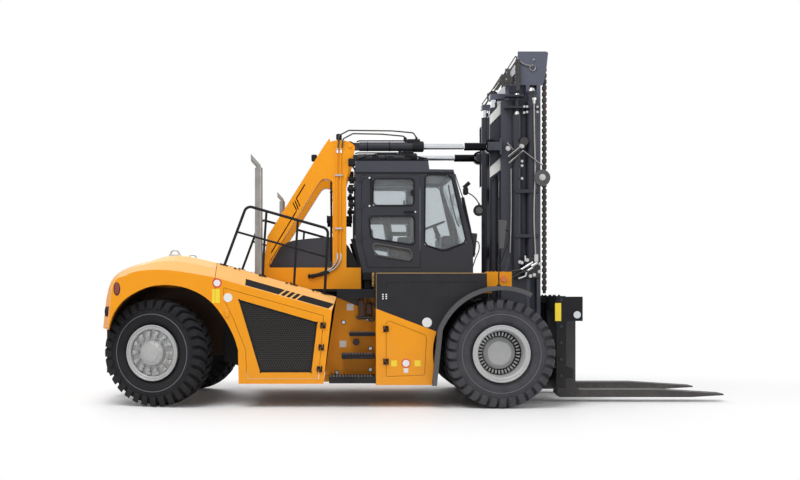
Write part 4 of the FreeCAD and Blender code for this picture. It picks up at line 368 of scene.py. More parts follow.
bare_steel = finish_of("bare_steel", (0.55, 0.55, 0.56), 0.32, metal=1.0, drift=0.2, dust=0.1,
                       grain=0.001)
lamp_red = finish_of("lamp_red", (0.22, 0.012, 0.008), 0.2, coat=0.6, drift=0.1, dust=0.05, grain=0.0004)
white_label = finish_of("white_label", (0.75, 0.75, 0.74), 0.4, drift=0.05, dust=0.08, grain=0.0003)
yellow_label = finish_of("yellow_label", (0.85, 0.62, 0.02), 0.4, drift=0.05, dust=0.08, grain=0.0003)
amber_lens = finish_of("amber_lens", (0.75, 0.16, 0.01), 0.2, coat=0.6, drift=0.1, dust=0.05,
                       grain=0.0004)
red_label = finish_of("red_label", (0.62, 0.03, 0.03), 0.4, drift=0.05, dust=0.08, grain=0.0003)
grille_black = finish_of("grille_black", (0.035, 0.033, 0.032), 0.34, metal=0.5, drift=0.3,
                         dust=0.05, grain=0.0006)
# Near-black painted shade, for the sheet behind the grille's holes.
grille_shade_black = finish_of("grille_shade_black", (0.004, 0.004, 0.004), 0.8, drift=0.2, dust=0.0, grain=0.0006)
worn_edge = finish_of("worn_edge", (0.50, 0.30, 0.10), 0.5, drift=0.5, dust=0.1, grain=0.0008,
                      drift_scale=8)
print("materials", len(bpy.data.materials))

# %% [markdown]
# Glass needs its own shader: light passes through it, and a shadow ray has to pass too or the cab
# goes black. It stays lightly tinted, with a smooth reflecting surface.

# %% Tinted cab glass
def build_glass(name, tint):
    """Thin tinted glass: mostly clear, with a sharp reflection."""
    material = bpy.data.materials.new(name)
    material.use_nodes = True
    shader = material.node_tree.nodes["Principled BSDF"]
    shader.inputs["Base Color"].default_value = (*tint, 1)
    shader.inputs["Roughness"].default_value = 0.03
    shader.inputs["IOR"].default_value = 1.12
    shader.inputs["Transmission Weight"].default_value = 0.9
    return material


window_glass = build_glass("window_glass", (0.72, 0.76, 0.78))
print("made", window_glass.name)

# %% [markdown]
# The front side box is two colours: charcoal above a slanting line, orange below. The line is worked
# out from the box's own corners, so it follows the surface and needs no extra geometry.

# %% The two-colour split on the front boxes
box_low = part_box("front_side_boxes")[0]
SPLIT_SLOPE = -0.3814
SPLIT_AT_REAR = 1.472
SHARP_EDGE = 400.0


def ramp(tree, more, less, steepness):
    """A mask that climbs from 0 to 1 as one value passes another."""
    return math_node(tree, "MULTIPLY", math_node(tree, "SUBTRACT", more, less), steepness, True)


def above_split(tree):
    """Mask of what lies above the slanting line on the box's side."""
    place = axes_of(tree)
    along = math_node(tree, "SUBTRACT", place["X"], box_low[0])
    line = math_node(tree, "MULTIPLY", along, SPLIT_SLOPE)
    line = math_node(tree, "ADD", line, SPLIT_AT_REAR)
    return ramp(tree, place["Z"], line, SHARP_EDGE), DARK_PANEL


box_paint = finish_of("box_paint", ORANGE, 0.45, gloss=0.14, coat=0.05, drift=0.10, dust=0.10,
                      grain=0.0008)
paint_mask(box_paint, above_split)
print("split falls", SPLIT_SLOPE, "for each metre forward, from", SPLIT_AT_REAR)

# %% [markdown]
# Three more finishes depend on place. Each tilt rod ends in a dark sleeve at the mast, the rear wheel
# arches are painted dark brown inside as painted shade, and paint that faces the sky is painted paler
# as a painted sheen. Each is one mask.

# %% Sleeve, painted arch shade and painted sheen
SLEEVE_START = 0.84
ARCH_SKIN, ARCH_TOP = 1.56, 1.82
ARCH_REAR, ARCH_FRONT = -4.45, -2.60


def past_sleeve(tree):
    """Mask of the dark sleeve at the mast end of each tilt rod."""
    return ramp(tree, axes_of(tree)["X"], SLEEVE_START, SHARP_EDGE), BLACK


def painted_arch_shade(tree):
    """Mask of the painted shade in the rear wheel arches: in from the skin, low, round the wheel."""
    place, way = axes_of(tree), axes_of(tree, "Normal")
    out = math_node(tree, "ABSOLUTE", place["Y"], 0.0)
    depth = ramp(tree, ARCH_SKIN, out, 14.0)
    low = ramp(tree, ARCH_TOP, place["Z"], 30.0)
    ahead = ramp(tree, place["X"], ARCH_REAR, 60.0)
    inward = ramp(tree, way["X"], -0.3, 5.0)
    front = math_node(tree, "MAXIMUM", ahead, inward)
    back = ramp(tree, ARCH_FRONT, place["X"], 60.0)
    across = math_node(tree, "MULTIPLY", depth, low)
    return math_node(tree, "MULTIPLY", across, math_node(tree, "MULTIPLY", front, back)), ARCH_SHADE


def painted_sky_sheen(tree):
    """Mask of what faces the sky, where a pale cream is painted in as the sky's sheen on the paint."""
    return ramp(tree, axes_of(tree, "Normal")["Z"], 0.12, 0.8), PAINTED_SHEEN


tilt_rod_finish = finish_of("tilt_rod_finish", CHROME, 0.2, metal=1.0, drift=0.08, dust=0.05,
                            grain=0.0003)
paint_mask(tilt_rod_finish, past_sleeve)
arch_paint = finish_of("arch_paint", ORANGE, 0.45, gloss=0.16, coat=0.06, drift=0.10, dust=0.05,
                       grain=0.0008)
# Paint that faces the sky takes the painted sheen.
for material in (arch_paint, orange_paint, box_paint):
    paint_mask(material, painted_sky_sheen)
# The rear arches take painted shade inside.
paint_mask(arch_paint, painted_arch_shade)
print("masked finishes", [m.name for m in (box_paint, arch_paint, orange_paint, tilt_rod_finish)])

# %% [markdown]
# Every node that the model carries keeps its shape and takes one of these finishes.

# %% Dress the carried parts
DRESS = {
    arch_paint: "counterweight side_panels",
    orange_paint: "step_bays fender_lamp_boxes tilt_gantry "
                  "service_door_right service_door_left",
    box_paint: "front_side_boxes box_door_right box_door_left",
    charcoal_paint: "cab_frame cab_floor cab_door_right cab_door_left lift_cylinders tilt_barrels",
    mast_paint: "outer_mast cab_roof engine_hood",
    mast_head_paint: "inner_mast",
    fender_grey: "front_fenders",
    black_paint: "chassis_frame deck handrails engine_bay_walls drive_axle steer_axle "
                 "steering_knuckle_right steering_knuckle_left steering_cylinder fork_carriage "
                 "seat_pedestal steering_column chain_sheaves",
    fork_paint: "fork_right fork_left",
    tyre_rubber: "rear_tyre_right rear_tyre_left",
    sheen_grey_rubber: "front_tyres_right front_tyres_left",
    rim_paint: "front_rims_right front_rims_left rear_rim_right rear_rim_left",
    tilt_rod_finish: "tilt_rods",
    rod_chrome: "lift_rods steering_rod fork_shaft tow_pin",
    stack_steel: "exhaust_stacks",
    window_glass: "cab_glass door_glass_right door_glass_left",
    engine_iron: "engine_block",
    seat_cloth: "driver_seat",
    chain_steel: "front_chains rear_chains",
    hose_rubber: "tilt_hoses",
    bare_steel: "lifting_eyes",
}
for material, names in DRESS.items():
    for name in names.split():
        node = frame["nodes"][name]
        node.data.materials.clear()
        node.data.materials.append(material)
print("dressed", sum(len(names.split()) for names in DRESS.values()), "of", len(frame["nodes"]))

# %% [markdown]
# Small fittings all start as a bmesh. These helpers add a block, a round bar, a ring or a turned shape
# to a bmesh, and `piece` makes the finished object, gives it a paint and lets it ride on a body.

# %% Modelling helpers
def block(mesh, low, high, bevel=0.004):
    """A block between two corners with softly broken edges."""
    low, high = Vector(low), Vector(high)
    size = high - low
    made = bmesh.ops.create_cube(mesh, size=1)["verts"]
    bmesh.ops.scale(mesh, vec=size, verts=made)
    bmesh.ops.translate(mesh, vec=(low + high) / 2, verts=made)
    if bevel:
        edges = list(dict.fromkeys(edge for vert in made for edge in vert.link_edges))
        bmesh.ops.bevel(mesh, geom=edges, offset=min(bevel, min(size) * 0.3), offset_type="OFFSET",
                        segments=1, profile=0.5, affect="EDGES", clamp_overlap=True, material=-1)


def bar(mesh, start, end, radius, tip=None, sides=16):
    """A round bar between two points, tapered to another radius where one is given."""
    start, end = Vector(start), Vector(end)
    turn = (end - start).to_track_quat("Z", "Y").to_matrix().to_4x4()
    bmesh.ops.create_cone(mesh, cap_ends=True, segments=sides, radius1=radius,
                          radius2=radius if tip is None else tip, depth=(end - start).length,
                          matrix=Matrix.Translation((start + end) / 2) @ turn)


def turned(mesh, profile, steps=48, closed=False):
    """A (radius, out) profile turned about the Y axis."""
    verts = [mesh.verts.new((radius, out, 0)) for radius, out in profile]
    edges = [mesh.edges.new(pair) for pair in zip(verts, verts[1:])]
    if closed:
        edges.append(mesh.edges.new((verts[-1], verts[0])))
    bmesh.ops.spin(mesh, geom=verts + edges, cent=(0, 0, 0), axis=(0, 1, 0),
                   angle=math.tau, steps=steps, use_merge=True)


def close_up(mesh):
    """Merge doubles and point every face outwards."""
    bmesh.ops.remove_doubles(mesh, verts=mesh.verts[:], dist=0.00005)
    bmesh.ops.recalc_face_normals(mesh, faces=mesh.faces[:])


SHARED_SLOTS = {
    "orange_paint": [lamp_red, amber_lens, white_label, yellow_label, red_label, worn_edge],
    "black_paint": [fender_grey, grille_black, grille_shade_black, rust_brown],
    "rim_grey": [rim_paint],
    "tyre_rubber": [sheen_grey_rubber, highlight_rubber],
    "rod_chrome": [bare_steel],
    "chain_steel": [chain_brown],
    "stack_steel": [pale_tie],
}
SLOT_OF = {finish: slot for slot, finishes in SHARED_SLOTS.items() for finish in finishes}
fresh = []


def piece(name, mesh, material, body="chassis", slot=None, smooth=35):
    """The finished object: closed, smooth where its faces meet gently, painted and riding a body.

    The slot for its finish is worked out, as given, else from SLOT_OF, else from the finish's own name
    with the number that Blender gives a second material of one name taken off; nothing uses it.
    """
    close_up(mesh)
    thing = object_of(name, mesh)
    thing.data.materials.append(material)
    if smooth:
        thing.data.shade_smooth()
        thing.data.set_sharp_from_angle(angle=math.radians(smooth))
    slot = slot or SLOT_OF.get(material) or material.name.split(".")[0]
    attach(thing, body)
    fresh.append(name)
    return thing


def made_here():
    """Print the pieces made since this was last called."""
    print("made", ", ".join(fresh))
    fresh.clear()


def mirrored(mesh):
    """Add the same shapes on the truck's other side."""
    copy = bmesh.ops.duplicate(mesh, geom=mesh.verts[:] + mesh.edges[:] + mesh.faces[:])["geom"]
    verts = [item for item in copy if isinstance(item, bmesh.types.BMVert)]
    faces = [item for item in copy if isinstance(item, bmesh.types.BMFace)]
    bmesh.ops.scale(mesh, vec=(1, -1, 1), verts=verts)
    bmesh.ops.reverse_faces(mesh, faces=faces)


def both_sides(name, mesh, material, body="chassis", slot=None, smooth=35):
    """The finished object of shapes that the truck has on its right and its left."""
    mirrored(mesh)
    return piece(name, mesh, material, body, slot, smooth)


def moved(mesh, matrix):
    """Place or turn everything in a mesh."""
    bmesh.ops.transform(mesh, matrix=matrix, verts=mesh.verts[:])


def joined_in(mesh, other):
    """Move another mesh's shapes into this one."""
    holder = bpy.data.meshes.new("holder")
    other.to_mesh(holder)
    other.free()
    mesh.from_mesh(holder)
    bpy.data.meshes.remove(holder)


def skin_at(node, start, way):
    """Where a straight line from a point first meets a node, and which way its skin faces there."""
    hit, place, normal, face = frame["nodes"][node].ray_cast(Vector(start), Vector(way))
    return (place, normal) if hit else None


print("finishes that share a slot", len(SLOT_OF))

# %% [markdown]
# An earth-mover tyre is a smooth carcass with thick lugs that wrap over each shoulder. The carcass is
# one turned profile. One lug is a flat face spun through part of the pitch, then repeated round the
# tyre, left and right lugs half a pitch apart.

# %% Tyres
LUGS = 32
LUG_SHARE = 0.62
LUG_LEAN = 0.55
HALF_WIDTH = 0.25
CARCASS = [
    (0.402, 0.165), (0.424, 0.180), (0.444, 0.203), (0.470, 0.222), (0.505, 0.235), (0.548, 0.242),
    (0.61, 0.240), (0.64, 0.232), (0.68, 0.220), (0.71, 0.205), (0.745, 0.180), (0.762, 0.16),
    (0.768, 0.08), (0.77, 0.0),
]
LUG = [
    (0.655, 0.232), (0.672, 0.247), (0.735, 0.2475), (0.782, 0.234), (0.800, 0.2), (0.8085, 0.12),
    (0.8095, 0.02), (0.75, 0.02), (0.735, 0.15), (0.70, 0.2),
]


def tyre_mesh():
    """A whole tyre about the Y axis, at the origin."""
    mesh = bmesh.new()
    outline = CARCASS + [(radius, -out) for radius, out in reversed(CARCASS[:-1])]
    turned(mesh, outline + [(0.402, 0.0)], steps=96, closed=True)
    pitch = math.tau / LUGS
    for index in range(LUGS):
        for side, lead in ((1, 0.0), (-1, 0.5)):
            start = len(mesh.verts)
            corners = [mesh.verts.new((radius, out * side, 0)) for radius, out in LUG]
            face = mesh.faces.new(corners)
            bmesh.ops.spin(mesh, geom=[face], cent=(0, 0, 0), axis=(0, 1, 0),
                           angle=pitch * LUG_SHARE, steps=2)
            mesh.verts.ensure_lookup_table()
            made = mesh.verts[start:]
            for vert in made:
                lean = (HALF_WIDTH - abs(vert.co.y)) * LUG_LEAN
                vert.co = Matrix.Rotation(lean + (index + lead) * pitch, 3, "Y") @ vert.co
    return mesh


JOINTS = {joint["name"]: joint for joint in frame["joints"]}
front_hub = JOINTS["front_wheel_right_spin"]["pos_m"]
FRONT_AXLE = Vector((front_hub[0], 0, front_hub[2]))
KINGPIN = Vector(JOINTS["steer_right"]["pos_m"])
PARKED = -16.5
STEER_OFFSET = 0.28
OUTER_TWIN = 1.47
INNER_TWIN = 0.91
INNER_TURN = 0.05


def front_place(side, out=OUTER_TWIN):
    """Where a front tyre stands, so far out from the middle of the truck."""
    return Matrix.Translation(FRONT_AXLE + Vector((0, side * out, 0)))


def rear_place(side):
    """Where a rear wheel stands: turned about its kingpin, out by the steering offset."""
    pin = Vector((KINGPIN.x, side * abs(KINGPIN.y), KINGPIN.z))
    turn = Matrix.Rotation(math.radians(PARKED), 4, "Z")
    return Matrix.Translation(pin) @ turn @ Matrix.Translation((0, side * STEER_OFFSET, 0))


for side_name, side in SIDES:
    twins = tyre_mesh()
    moved(twins, front_place(side))
    inner = tyre_mesh()
    moved(inner, front_place(side, INNER_TWIN) @ Matrix.Rotation(INNER_TURN, 4, "Y"))
    joined_in(twins, inner)
    tyres = piece(f"front_twin_treads_{side_name}", twins, sheen_grey_rubber, f"front_wheel_{side_name}")
    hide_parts(f"front_tyres_{side_name}")
    single = tyre_mesh()
    moved(single, rear_place(side))
    tyre = piece(f"rear_tread_{side_name}", single, tyre_rubber, f"rear_wheel_{side_name}")
    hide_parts(f"rear_tyre_{side_name}")
print("lugs on each shoulder", LUGS)
made_here()

# %% [markdown]
# The front rims are deep dishes: a bright lock ring, a well painted black as its shade and a hub
# plate ringed with studs.
# The rear rims sit almost flush and are held by wedge clamps round a flat ring.

# %% Rim and hub shapes
HUB_TEETH = 36
WEDGES = 14
BEAD_LINE = [(0.574, 0.236), (0.574, 0.247), (0.586, 0.247), (0.586, 0.236)]


def studs(mesh, count, ring, out, radius, height, phase=0.0):
    """Hexagon nuts in a circle, standing out along +Y."""
    for index in range(count):
        angle = math.tau * (index + phase) / count
        at = Vector((ring * math.cos(angle), out, ring * math.sin(angle)))
        bar(mesh, at, at + Vector((0, height * 0.5, 0)), radius * 1.25, sides=12)
        bar(mesh, at, at + Vector((0, height, 0)), radius, radius * 0.85, sides=6)


def repeated(mesh, count, build):
    """Copies of one small shape, spaced evenly round the wheel's axle."""
    for index in range(count):
        one = bmesh.new()
        build(one)
        moved(one, Matrix.Rotation(math.tau * index / count, 4, "Y"))
        joined_in(mesh, one)


def tooth(mesh):
    """One tooth of the front hub's edge."""
    block(mesh, (0.256, -0.030, -0.0125), (0.314, 0.034, 0.0125), 0.004)


def wedge(mesh):
    """One clamp of the rear rim: two stepped blocks under a nut and its washer."""
    block(mesh, (0.232, 0.160, -0.020), (0.300, 0.224, 0.020), 0.010)
    block(mesh, (0.285, 0.160, -0.034), (0.338, 0.212, 0.034), 0.008)
    bar(mesh, (0.262, 0.21, 0), (0.262, 0.256, 0), 0.019, 0.015, 6)
    bar(mesh, (0.262, 0.21, 0), (0.262, 0.230, 0), 0.028, sides=12)


def lock_ring(mesh):
    """The front wheel's bright ring, its toothed hub plate and the nuts on it."""
    turned(mesh, [(0.400, 0.215), (0.424, 0.232), (0.424, 0.247), (0.408, 0.250), (0.396, 0.243),
                  (0.384, 0.246), (0.366, 0.246), (0.352, 0.236), (0.346, 0.20), (0.332, 0.165),
                  (0.330, 0.06), (0.324, 0.0), (0.376, 0.0)], steps=72, closed=True)
    turned(mesh, [(0.0, 0.02), (0.062, 0.022), (0.07, 0.014), (0.12, 0.014), (0.128, 0.004),
                  (0.205, 0.0), (0.232, -0.006), (0.246, -0.02), (0.246, -0.06)], steps=48)
    repeated(mesh, HUB_TEETH, tooth)
    studs(mesh, 20, 0.218, -0.002, 0.010, 0.020)
    for near in (0.045, 0.095, 0.150, 0.190):
        far = near + 0.008
        turned(mesh, [(near, 0.0), (near, 0.026), (far, 0.026), (far, 0.0)], steps=48, closed=True)


def well_ring(mesh):
    """The floor of the front wheel's dish and its ring of nuts, painted black as the dish's shade."""
    turned(mesh, [(0.328, 0.03), (0.322, 0.034), (0.25, -0.02), (0.25, -0.03), (0.328, 0.02)],
           steps=48, closed=True)
    studs(mesh, 36, 0.300, 0.012, 0.008, 0.022, 0.5)


def clamp_recess(mesh):
    """The shadowed floor behind the rear wheel's clamps."""
    turned(mesh, [(0.206, 0.160), (0.206, 0.171), (0.343, 0.171), (0.343, 0.160)], steps=60, closed=True)


def sidewall_line(mesh):
    """The thin ring moulded round a tyre's side, its pale grey a painted highlight along the ridge."""
    turned(mesh, BEAD_LINE, steps=96, closed=True)


def clamp_ring(mesh):
    """The rear wheel's ring and stepped hub, held by wedge clamps."""
    turned(mesh, [(0.400, 0.20), (0.420, 0.225), (0.418, 0.240), (0.402, 0.243), (0.392, 0.232),
                  (0.380, 0.236), (0.362, 0.234), (0.352, 0.225), (0.345, 0.17), (0.375, 0.17)],
           steps=72, closed=True)
    turned(mesh, [(0.0, 0.268), (0.10, 0.268), (0.122, 0.262), (0.130, 0.244), (0.150, 0.240),
                  (0.178, 0.236), (0.186, 0.226), (0.19, 0.20), (0.205, 0.168), (0.345, 0.168),
                  (0.35, 0.160)], steps=60)
    repeated(mesh, WEDGES, wedge)
    studs(mesh, 10, 0.158, 0.236, 0.009, 0.014)


print("front hub teeth", HUB_TEETH, "rear wedge clamps", WEDGES)

# %% [markdown]
# Each shape is modelled facing outwards along +Y at the origin, so one table can set all of them in
# place on the four wheels. The left wheels take the same shapes flipped over.

# %% Set the rims on the wheels
RIMS = [
    ("front_lock_ring", lock_ring, rim_paint, "front_wheel", "rim_grey"),
    ("front_well_ring", well_ring, black_paint, "front_wheel", "rim_grey"),
    ("rear_clamp_recess", clamp_recess, black_paint, "rear_wheel", "rim_grey"),
    ("rear_sidewall_line", sidewall_line, highlight_rubber, "rear_wheel", "tyre_rubber"),
    ("front_sidewall_line", sidewall_line, highlight_rubber, "front_wheel", "tyre_rubber"),
    ("rear_clamp_ring", clamp_ring, rim_paint, "rear_wheel", "rim_grey"),
]
for side_name, side in SIDES:
    place_of = {"front_wheel": front_place(side), "rear_wheel": rear_place(side)}
    for name, build, material, wheel, slot in RIMS:
        shape = bmesh.new()
        build(shape)
        moved(shape, place_of[wheel] @ Matrix.Diagonal((1, side, 1, 1)))
        piece(f"{name}_{side_name}", shape, material, f"{wheel}_{side_name}", slot)
made_here()

# %% [markdown]
# Pipes, hoses and wires are swept along a route. A curve object with a round bevel does the sweeping,
# and its mesh is read back, so the same bmesh can hold pipes and blocks together.

# %% Pipes, stickers and straps
def pipe(mesh, points, radius, smooth=True, sides=3):
    """A round pipe along a route: smooth through its points, or straight from one to the next."""
    curve = bpy.data.curves.new("route", "CURVE")
    curve.dimensions = "3D"
    curve.bevel_depth = radius
    curve.bevel_resolution = sides
    curve.resolution_u = 8
    curve.use_fill_caps = True
    spline = curve.splines.new("BEZIER" if smooth else "POLY")
    if smooth:
        spline.bezier_points.add(len(points) - 1)
        for knot, point in zip(spline.bezier_points, points):
            knot.co = point
            knot.handle_left_type = knot.handle_right_type = "AUTO"
    else:
        spline.points.add(len(points) - 1)
        for knot, point in zip(spline.points, points):
            knot.co = (*point, 1)
    holder = bpy.data.objects.new("route", curve)
    swept = bpy.data.meshes.new_from_object(holder)
    mesh.from_mesh(swept)
    bpy.data.objects.remove(holder)


def plate(mesh, points, thickness):
    """A flat sticker or strap: a polygon given thickness along its normal."""
    face = mesh.faces.new([mesh.verts.new(point) for point in points])
    face.normal_update()
    push = face.normal * thickness
    made = bmesh.ops.extrude_face_region(mesh, geom=[face])["geom"]
    verts = [item for item in made if isinstance(item, bmesh.types.BMVert)]
    bmesh.ops.translate(mesh, vec=push, verts=verts)


def disc(mesh, centre, radius, thickness, sides=32):
    """A flat disc that faces out of the truck's right side."""
    centre = Vector(centre)
    bar(mesh, centre, centre - Vector((0, thickness, 0)), radius, sides=sides)


def hex_bolt(mesh, at, out, radius):
    """A hexagon head on a washer, standing out along a direction."""
    at, out = Vector(at), Vector(out).normalized()
    bar(mesh, at, at + out * radius * 0.35, radius * 1.5, sides=16)
    bar(mesh, at, at + out * radius * 1.2, radius, sides=6)


SKIN = -1.6
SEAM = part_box("counterweight")[1][0]
print("seam at", round(SEAM, 3))

# %% [markdown]
# The tail carries oval marker lamps on its flanks and round lamps on its back face. Blank stickers
# stand by the seam: a red ring, a yellow plate and a white disc.

# %% Tail lamps, seam and stickers
def oval_lens(mesh, centre, wide, high, depth):
    """An oval lens that faces out of the right side, domed a little."""
    made = bmesh.ops.create_uvsphere(mesh, u_segments=24, v_segments=12, radius=1)["verts"]
    bmesh.ops.scale(mesh, vec=(wide / 2, depth, high / 2), verts=made)
    bmesh.ops.translate(mesh, vec=centre, verts=made)


MARKER = (-4.43, SKIN, 1.765)
marker = bmesh.new()
oval_lens(marker, MARKER, 0.075, 0.17, 0.016)
both_sides("flank_marker_lenses", marker, lamp_red)

bezel, rear_lens = bmesh.new(), bmesh.new()
oval_lens(bezel, MARKER, 0.10, 0.20, 0.007)
for y in (-1.22, -1.05):
    place, normal = skin_at("counterweight", (-6, y, 1.42), (1, 0, 0))
    bar(bezel, place - Vector((0.012, 0, 0)), place + Vector((0.06, 0, 0)), 0.078, sides=32)
    bar(rear_lens, place - Vector((0.02, 0, 0)), place, 0.055, 0.066, sides=32)
both_sides("tail_lamp_bezels", bezel, black_paint)
both_sides("tail_lamp_lenses", rear_lens, lamp_red)

seam = bmesh.new()
pipe(seam, [(SEAM, SKIN, 1.56), (SEAM, SKIN, 1.936), (SEAM, -1.35, 2.157), (SEAM, -0.80, 2.158)],
     0.0035, False)
both_sides("counterweight_seam", seam, black_paint)

white = bmesh.new()
disc(white, (-2.947, SKIN, 1.853), 0.050, 0.004)
disc(white, (-2.784, SKIN, 1.637), 0.066, 0.003)
both_sides("side_white_discs", white, white_label)
red = bmesh.new()
disc(red, (-2.947, SKIN, 1.853), 0.070, 0.003)
both_sides("side_red_ring", red, red_label)
yellow = bmesh.new()
block(yellow, (-3.02, SKIN - 0.003, 1.556), (-2.905, SKIN + 0.001, 1.764), 0)
both_sides("side_yellow_plate", yellow, yellow_label)
made_here()

# %% [markdown]
# A black band follows the shoulder just above the crease, broken by four slanting bars. Each part of
# it is a thin plate laid in the shoulder's own slanting plane.

# %% Shoulder band
def on_shoulder(x, share):
    """A point on the slanting shoulder: share 0 at the crease, 1 at the walkway's edge."""
    crease = 1.936 - 0.2825 * (x - SEAM)
    top = 2.157 - 0.2849 * (x - SEAM)
    return Vector((x, SKIN + 0.25 * share - 0.001, crease + (top - crease) * share + 0.001))


band = bmesh.new()
BAND_LOW, BAND_HIGH, SLANT = 0.05, 0.47, 0.085
for start, end, lean in ((-2.53, -2.035, 0), (-2.005, -1.955, SLANT), (-1.925, -1.875, SLANT),
                         (-1.845, -1.795, SLANT), (-1.765, -1.30, SLANT)):
    plate(band, [on_shoulder(start, BAND_LOW), on_shoulder(end, BAND_LOW),
                 on_shoulder(end + SLANT, BAND_HIGH), on_shoulder(start + lean, BAND_HIGH)], 0.002)
both_sides("shoulder_band", band, black_paint, smooth=0)
made_here()

# %% [markdown]
# The service door's window is a sheet punched with hexagons. Each cell starts as a capped hexagon; an
# inset leaves the hole's edge, the middle face goes, and solidify gives the sheet its thickness.

# %% Perforated grille
GRILLE = [Vector((-2.62, 1.601)), Vector((-1.466, 1.267)), Vector((-1.555, 0.535)), Vector((-2.302, 0.535))]
PITCH = 0.036
CELL_ROWS = 36
SHEET_OUT, EDGE_OUT, SHADE_SHEET_OUT = 1.594, 1.5965, 1.5835


def inside_grille(x, z, margin):
    """Whether a place lies inside the window by at least a margin."""
    for here, there in zip(GRILLE, GRILLE[1:] + GRILLE[:1]):
        run = there - here
        if (run.x * (z - here.y) - run.y * (x - here.x)) / run.length > -margin:
            return False
    return True


for side_name, side in SIDES:
    sheet_mesh = bmesh.new()
    for row in range(CELL_ROWS):
        z = 0.545 + row * PITCH * 0.866
        for column in range(CELL_ROWS):
            x = -2.63 + (column + (row % 2) / 2) * PITCH
            if inside_grille(x, z, 0.014):
                at = Matrix.Translation((x, side * SHEET_OUT, z)) @ Matrix.Rotation(math.radians(90), 4, "X")
                bmesh.ops.create_circle(sheet_mesh, cap_ends=True, segments=6,
                                        radius=PITCH / math.sqrt(3), matrix=at)
    bmesh.ops.remove_doubles(sheet_mesh, verts=sheet_mesh.verts[:], dist=0.0005)
    cells = sheet_mesh.faces[:]
    bmesh.ops.inset_individual(sheet_mesh, faces=cells, thickness=0.0052)
    bmesh.ops.delete(sheet_mesh, geom=cells, context="FACES_ONLY")
    bmesh.ops.solidify(sheet_mesh, geom=sheet_mesh.faces[:], thickness=0.002)
    door = f"service_door_{side_name}"
    piece(f"grille_sheet_{side_name}", sheet_mesh, grille_black, door, smooth=0)
    edge = bmesh.new()
    corners = [(point.x, side * EDGE_OUT, point.y) for point in GRILLE]
    pipe(edge, corners + corners[:1], 0.009, False, 1)
    for corner in corners:
        bmesh.ops.create_icosphere(edge, subdivisions=2, radius=0.016, matrix=Matrix.Translation(corner))
    piece(f"grille_edge_{side_name}", edge, black_paint, door, smooth=0)
    # Behind the holes lies a near-black sheet: painted shade that stands in for the dark bay behind the door.
    shade_sheet = bmesh.new()
    plate(shade_sheet, [(point.x, side * SHADE_SHEET_OUT, point.y) for point in GRILLE[::-side]], 0.001)
    piece(f"grille_shade_sheet_{side_name}", shade_sheet, grille_shade_black, door, smooth=0)
print("grille cells", len(cells))
made_here()

# %% [markdown]
# Hinges are black castings over the orange knuckles. Their fixed halves ride the truck, the hung
# halves ride the door, so each opens with its door.

# %% Hinge covers and door latches
HINGES = {
    "service_door": (-1, [(-1.3770, 1.2236), (-1.4025, 0.9005), (-1.4280, 0.5775)]),
    "box_door": (1, [(-0.445, 0.69), (-0.445, 1.174)]),
}
KNUCKLE_OUT = 1.614


def hinge_half(mesh, x, low, z, way, side):
    """One half of a hinge: a knuckle of its own, an arm from it, and a leaf as tall as both halves."""
    bar(mesh, (x, side * KNUCKLE_OUT, low), (x, side * KNUCKLE_OUT, low + 0.044), 0.0138, sides=20)
    arm = (0.004, 0.026, low + 0.002, low + 0.042)
    leaf = (0.022, 0.040, z - 0.046, z + 0.046)
    for near, far, foot, top in (arm, leaf):
        start, end = sorted((x + way * near, x + way * far))
        inner, outer = sorted((side * 1.5995, side * 1.617))
        block(mesh, (start, inner, foot), (end, outer, top), 0.003)


for door, (leaf_side, hinges) in HINGES.items():
    for side_name, side in SIDES:
        fixed, hung = bmesh.new(), bmesh.new()
        for x, z in hinges:
            hinge_half(fixed, x, z - 0.046, z, -leaf_side, side)
            hinge_half(hung, x, z + 0.001, z, leaf_side, side)
        piece(f"{door}_{side_name}_fixed_hinges", fixed, black_paint)
        piece(f"{door}_{side_name}_hung_hinges", hung, black_paint, f"{door}_{side_name}")
latch = bmesh.new()
block(latch, (-2.835, SKIN - 0.018, 1.35), (-2.765, SKIN + 0.002, 1.45), 0.008)
both_sides("tail_latches", latch, orange_paint)
made_here()

# %% [markdown]
# The step bay is where the driver climbs up. Its treads are black with teeth that bite a boot sole,
# and its wall carries blank plates, bolts, a filler and a valve block with a looped hose. Each tread
# is a thin cover over the real step, and its teeth are small blocks set in three rows.

# %% Step treads
TREADS = ((-1.285, 1.60, 0.460, 0.09), (-1.095, 1.49, 0.785, 0.06), (-0.98, 1.41, 1.105, 0.045))
TOOTH_PITCH = 0.046
treads, teeth = bmesh.new(), bmesh.new()
for low_x, reach, top, depth in TREADS:
    block(treads, (low_x - 0.004, -reach - 0.004, top - depth - 0.004), (-0.592, -1.163, top + 0.004), 0.004)
    top += 0.004
    for index in range(int((-0.60 - low_x) / TOOTH_PITCH)):
        x = low_x + 0.008 + index * TOOTH_PITCH
        for y in (-reach - 0.004, -reach + 0.07, -reach + 0.14):
            block(teeth, (x, y, top - 0.026), (x + 0.026, y + 0.02, top + 0.02), 0.005)
both_sides("step_treads", treads, black_paint)
both_sides("step_tread_teeth", teeth, fender_grey)
made_here()

# %% [markdown]
# The bay's back wall carries the small things a mechanic reaches for. Each kind is one mesh of plain
# blocks, bars and bolts against the wall, which is enough at the distance they are seen from.

